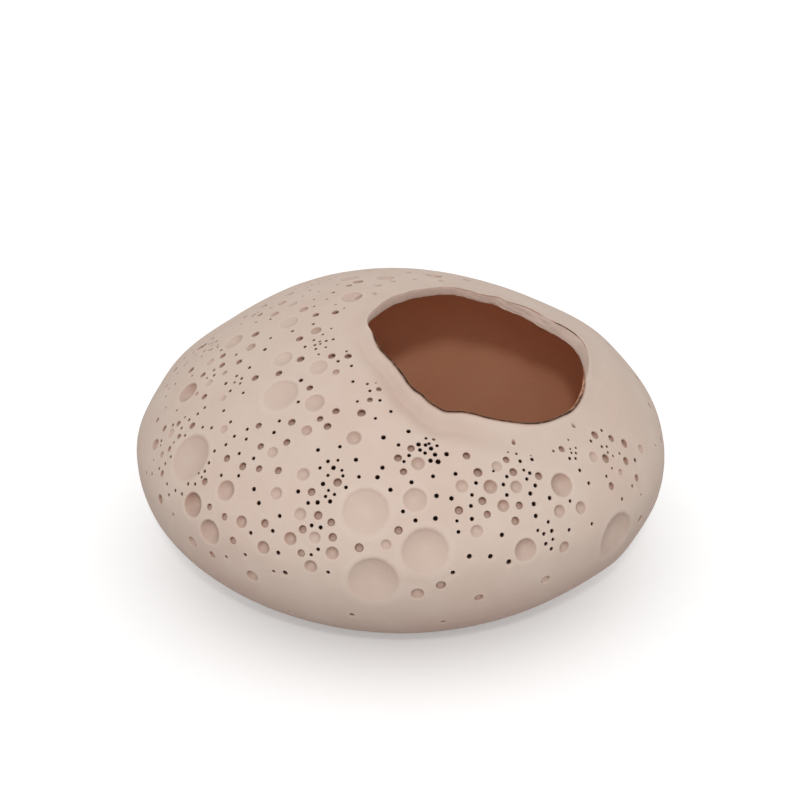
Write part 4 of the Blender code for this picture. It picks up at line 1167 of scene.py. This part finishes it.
for share in OUTER_ROWS:
    away = share * strip_width
    rings.append(dome_skin(*strip_places(share)))
    past.append(-away - slip_width)
    # Painted highlight on the crest, painted shade in the valley, and the painted shadow line past the slip's
    # end
    thick = CREST_SLIP_AND_HIGHLIGHT * shadow_and_highlight_lines * np.exp(-((away / CREST_SLIP_AND_HIGHLIGHT_WIDTH) ** 2))
    wear_and_painted_light.append(np.maximum(valley_shade(*strip_places(share)) - thick, painted_shadow_line(past[-1])))
top, bottom = rings[-1], dome_skin(*strip_places(0.0), inside=True)
into_mouth = np.array((*MOUTH_CENTRE, 0)) - top
into_mouth[:, 2] = 0
into_mouth /= np.linalg.norm(into_mouth, axis=1, keepdims=True)
tearing = at_angle(lip_make["tearing"], strip_turns)
inner_rings = []
for number in range(1, EDGE_ROWS):
    turned = math.pi * number / EDGE_ROWS
    share = (1 - math.cos(turned)) / 2
    layer = top + np.array((0, 0, number * LAYERS_APART))  # each row tears its own way
    stands = EDGE_BULGE * math.sin(turned) + tearing * waver(layer, TEAR_WAVELENGTH, 6)
    inner_rings.append(top + (bottom - top) * share + into_mouth * stands[:, None])
for share in INNER_ROWS:
    inner_rings.append(dome_skin(*strip_places(share), inside=True))
for ring in inner_rings:
    path = path + np.linalg.norm(ring - rings[-1], axis=1)
    rings.append(ring)
    past.append(path - slip_width)
    crack = CRACK_BARES * cracked * np.exp(-(((path - CRACK_AT) / CRACK_WIDTH) ** 2))
    # Inside the edge the slip is painted darker, as shade on the face that turns away from the light
    wear_and_painted_light.append(np.maximum(np.maximum(painted_shadow_line(past[-1]), crack), np.where(past[-1] > 0, 0, shaded_inside)))
made = [add_ring(bm, *row) for row in zip(rings, past, wear_and_painted_light)]
for one, other in zip(made, made[1:] + made[:1]):
    join_rings(bm, one, other)
finish_wall("drawn_lip", bm, [], clay, "mouth_strip")


# The table under it, and plain soft light: a pale room all round, a broad lamp in front and a small window
PAPER = (0.95, 0.95, 0.95, 1)
PAPER_BOUNCE = (0.35, 0.35, 0.35, 1)  # the light that the table throws back at the pot
PAPER_GLOW = 0.20  # lifts the paper to white where no shadow lies
PAPER_ROUGH = 0.9
WHITE = (1, 1, 1, 1)
TABLE_HALF = 6.0
LAMPS = {  # place, size, watts
    "front": ((0.0, -2.2, 0.70), 1.4, 8.7),
    "window": ((0.0, -1.55, 1.30), 0.10, 6),
}
ROOM_LIGHT = 0.84


def looked_at(tree):
    """1 where the camera sees something, also by reflection or through glass, and 0 where it only lights."""
    path = node(tree, "ShaderNodeLightPath")
    rays = maths(tree, "MAXIMUM", path.outputs["Is Camera Ray"], path.outputs["Is Glossy Ray"])
    return maths(tree, "MAXIMUM", rays, path.outputs["Is Transmission Ray"])


mesh = bpy.data.meshes.new("table")
corners = [(x * TABLE_HALF, y * TABLE_HALF, 0) for x, y in ((-1, -1), (1, -1), (1, 1), (-1, 1))]
mesh.from_pydata(corners, [], [(0, 1, 2, 3)])
table = bpy.data.objects.new("table", mesh)
bpy.context.scene.collection.objects.link(table)
paper = bpy.data.materials.new("white_table")
paper.use_nodes = True
tree = paper.node_tree
surface = tree.nodes["Principled BSDF"]
seen = looked_at(tree)
tree.links.new(blend(tree, seen, PAPER_BOUNCE, PAPER), surface.inputs["Base Color"])
surface.inputs["Roughness"].default_value = PAPER_ROUGH
surface.inputs["Emission Color"].default_value = WHITE
tree.links.new(maths(tree, "MULTIPLY", seen, PAPER_GLOW), surface.inputs["Emission Strength"])
mesh.materials.append(paper)

for name, (place, size, watts) in LAMPS.items():
    lamp = bpy.data.lights.new(name, "AREA")
    lamp.size = size
    lamp.energy = watts
    holder = bpy.data.objects.new(name, lamp)
    holder.location = place
    holder.rotation_euler = (VIEW_TARGET - Vector(place)).to_track_quat("-Z", "Y").to_euler()
    bpy.context.scene.collection.objects.link(holder)

room = bpy.data.worlds.new("room")
bpy.context.scene.world = room
room.use_nodes = True
tree = room.node_tree
light = tree.nodes["Background"]
light.inputs["Color"].default_value = WHITE
light.inputs["Strength"].default_value = ROOM_LIGHT
plain = node(tree, "ShaderNodeBackground", {"Color": WHITE, "Strength": 1.0})
feeds = {0: looked_at(tree), 1: light.outputs[0], 2: plain.outputs[0]}
both = node(tree, "ShaderNodeMixShader", feeds)
tree.links.new(both.outputs[0], tree.nodes["World Output"].inputs["Surface"])

camera = bpy.data.cameras.new("camera")
camera.lens = LENS
camera.sensor_width = SENSOR_WIDTH
viewer = bpy.data.objects.new("camera", camera)
viewer.location = eye
viewer.rotation_euler = view_forward.to_track_quat("-Z", "Y").to_euler()
bpy.context.scene.collection.objects.link(viewer)
bpy.context.scene.camera = viewer
bpy.context.scene.view_settings.view_transform = "Standard"
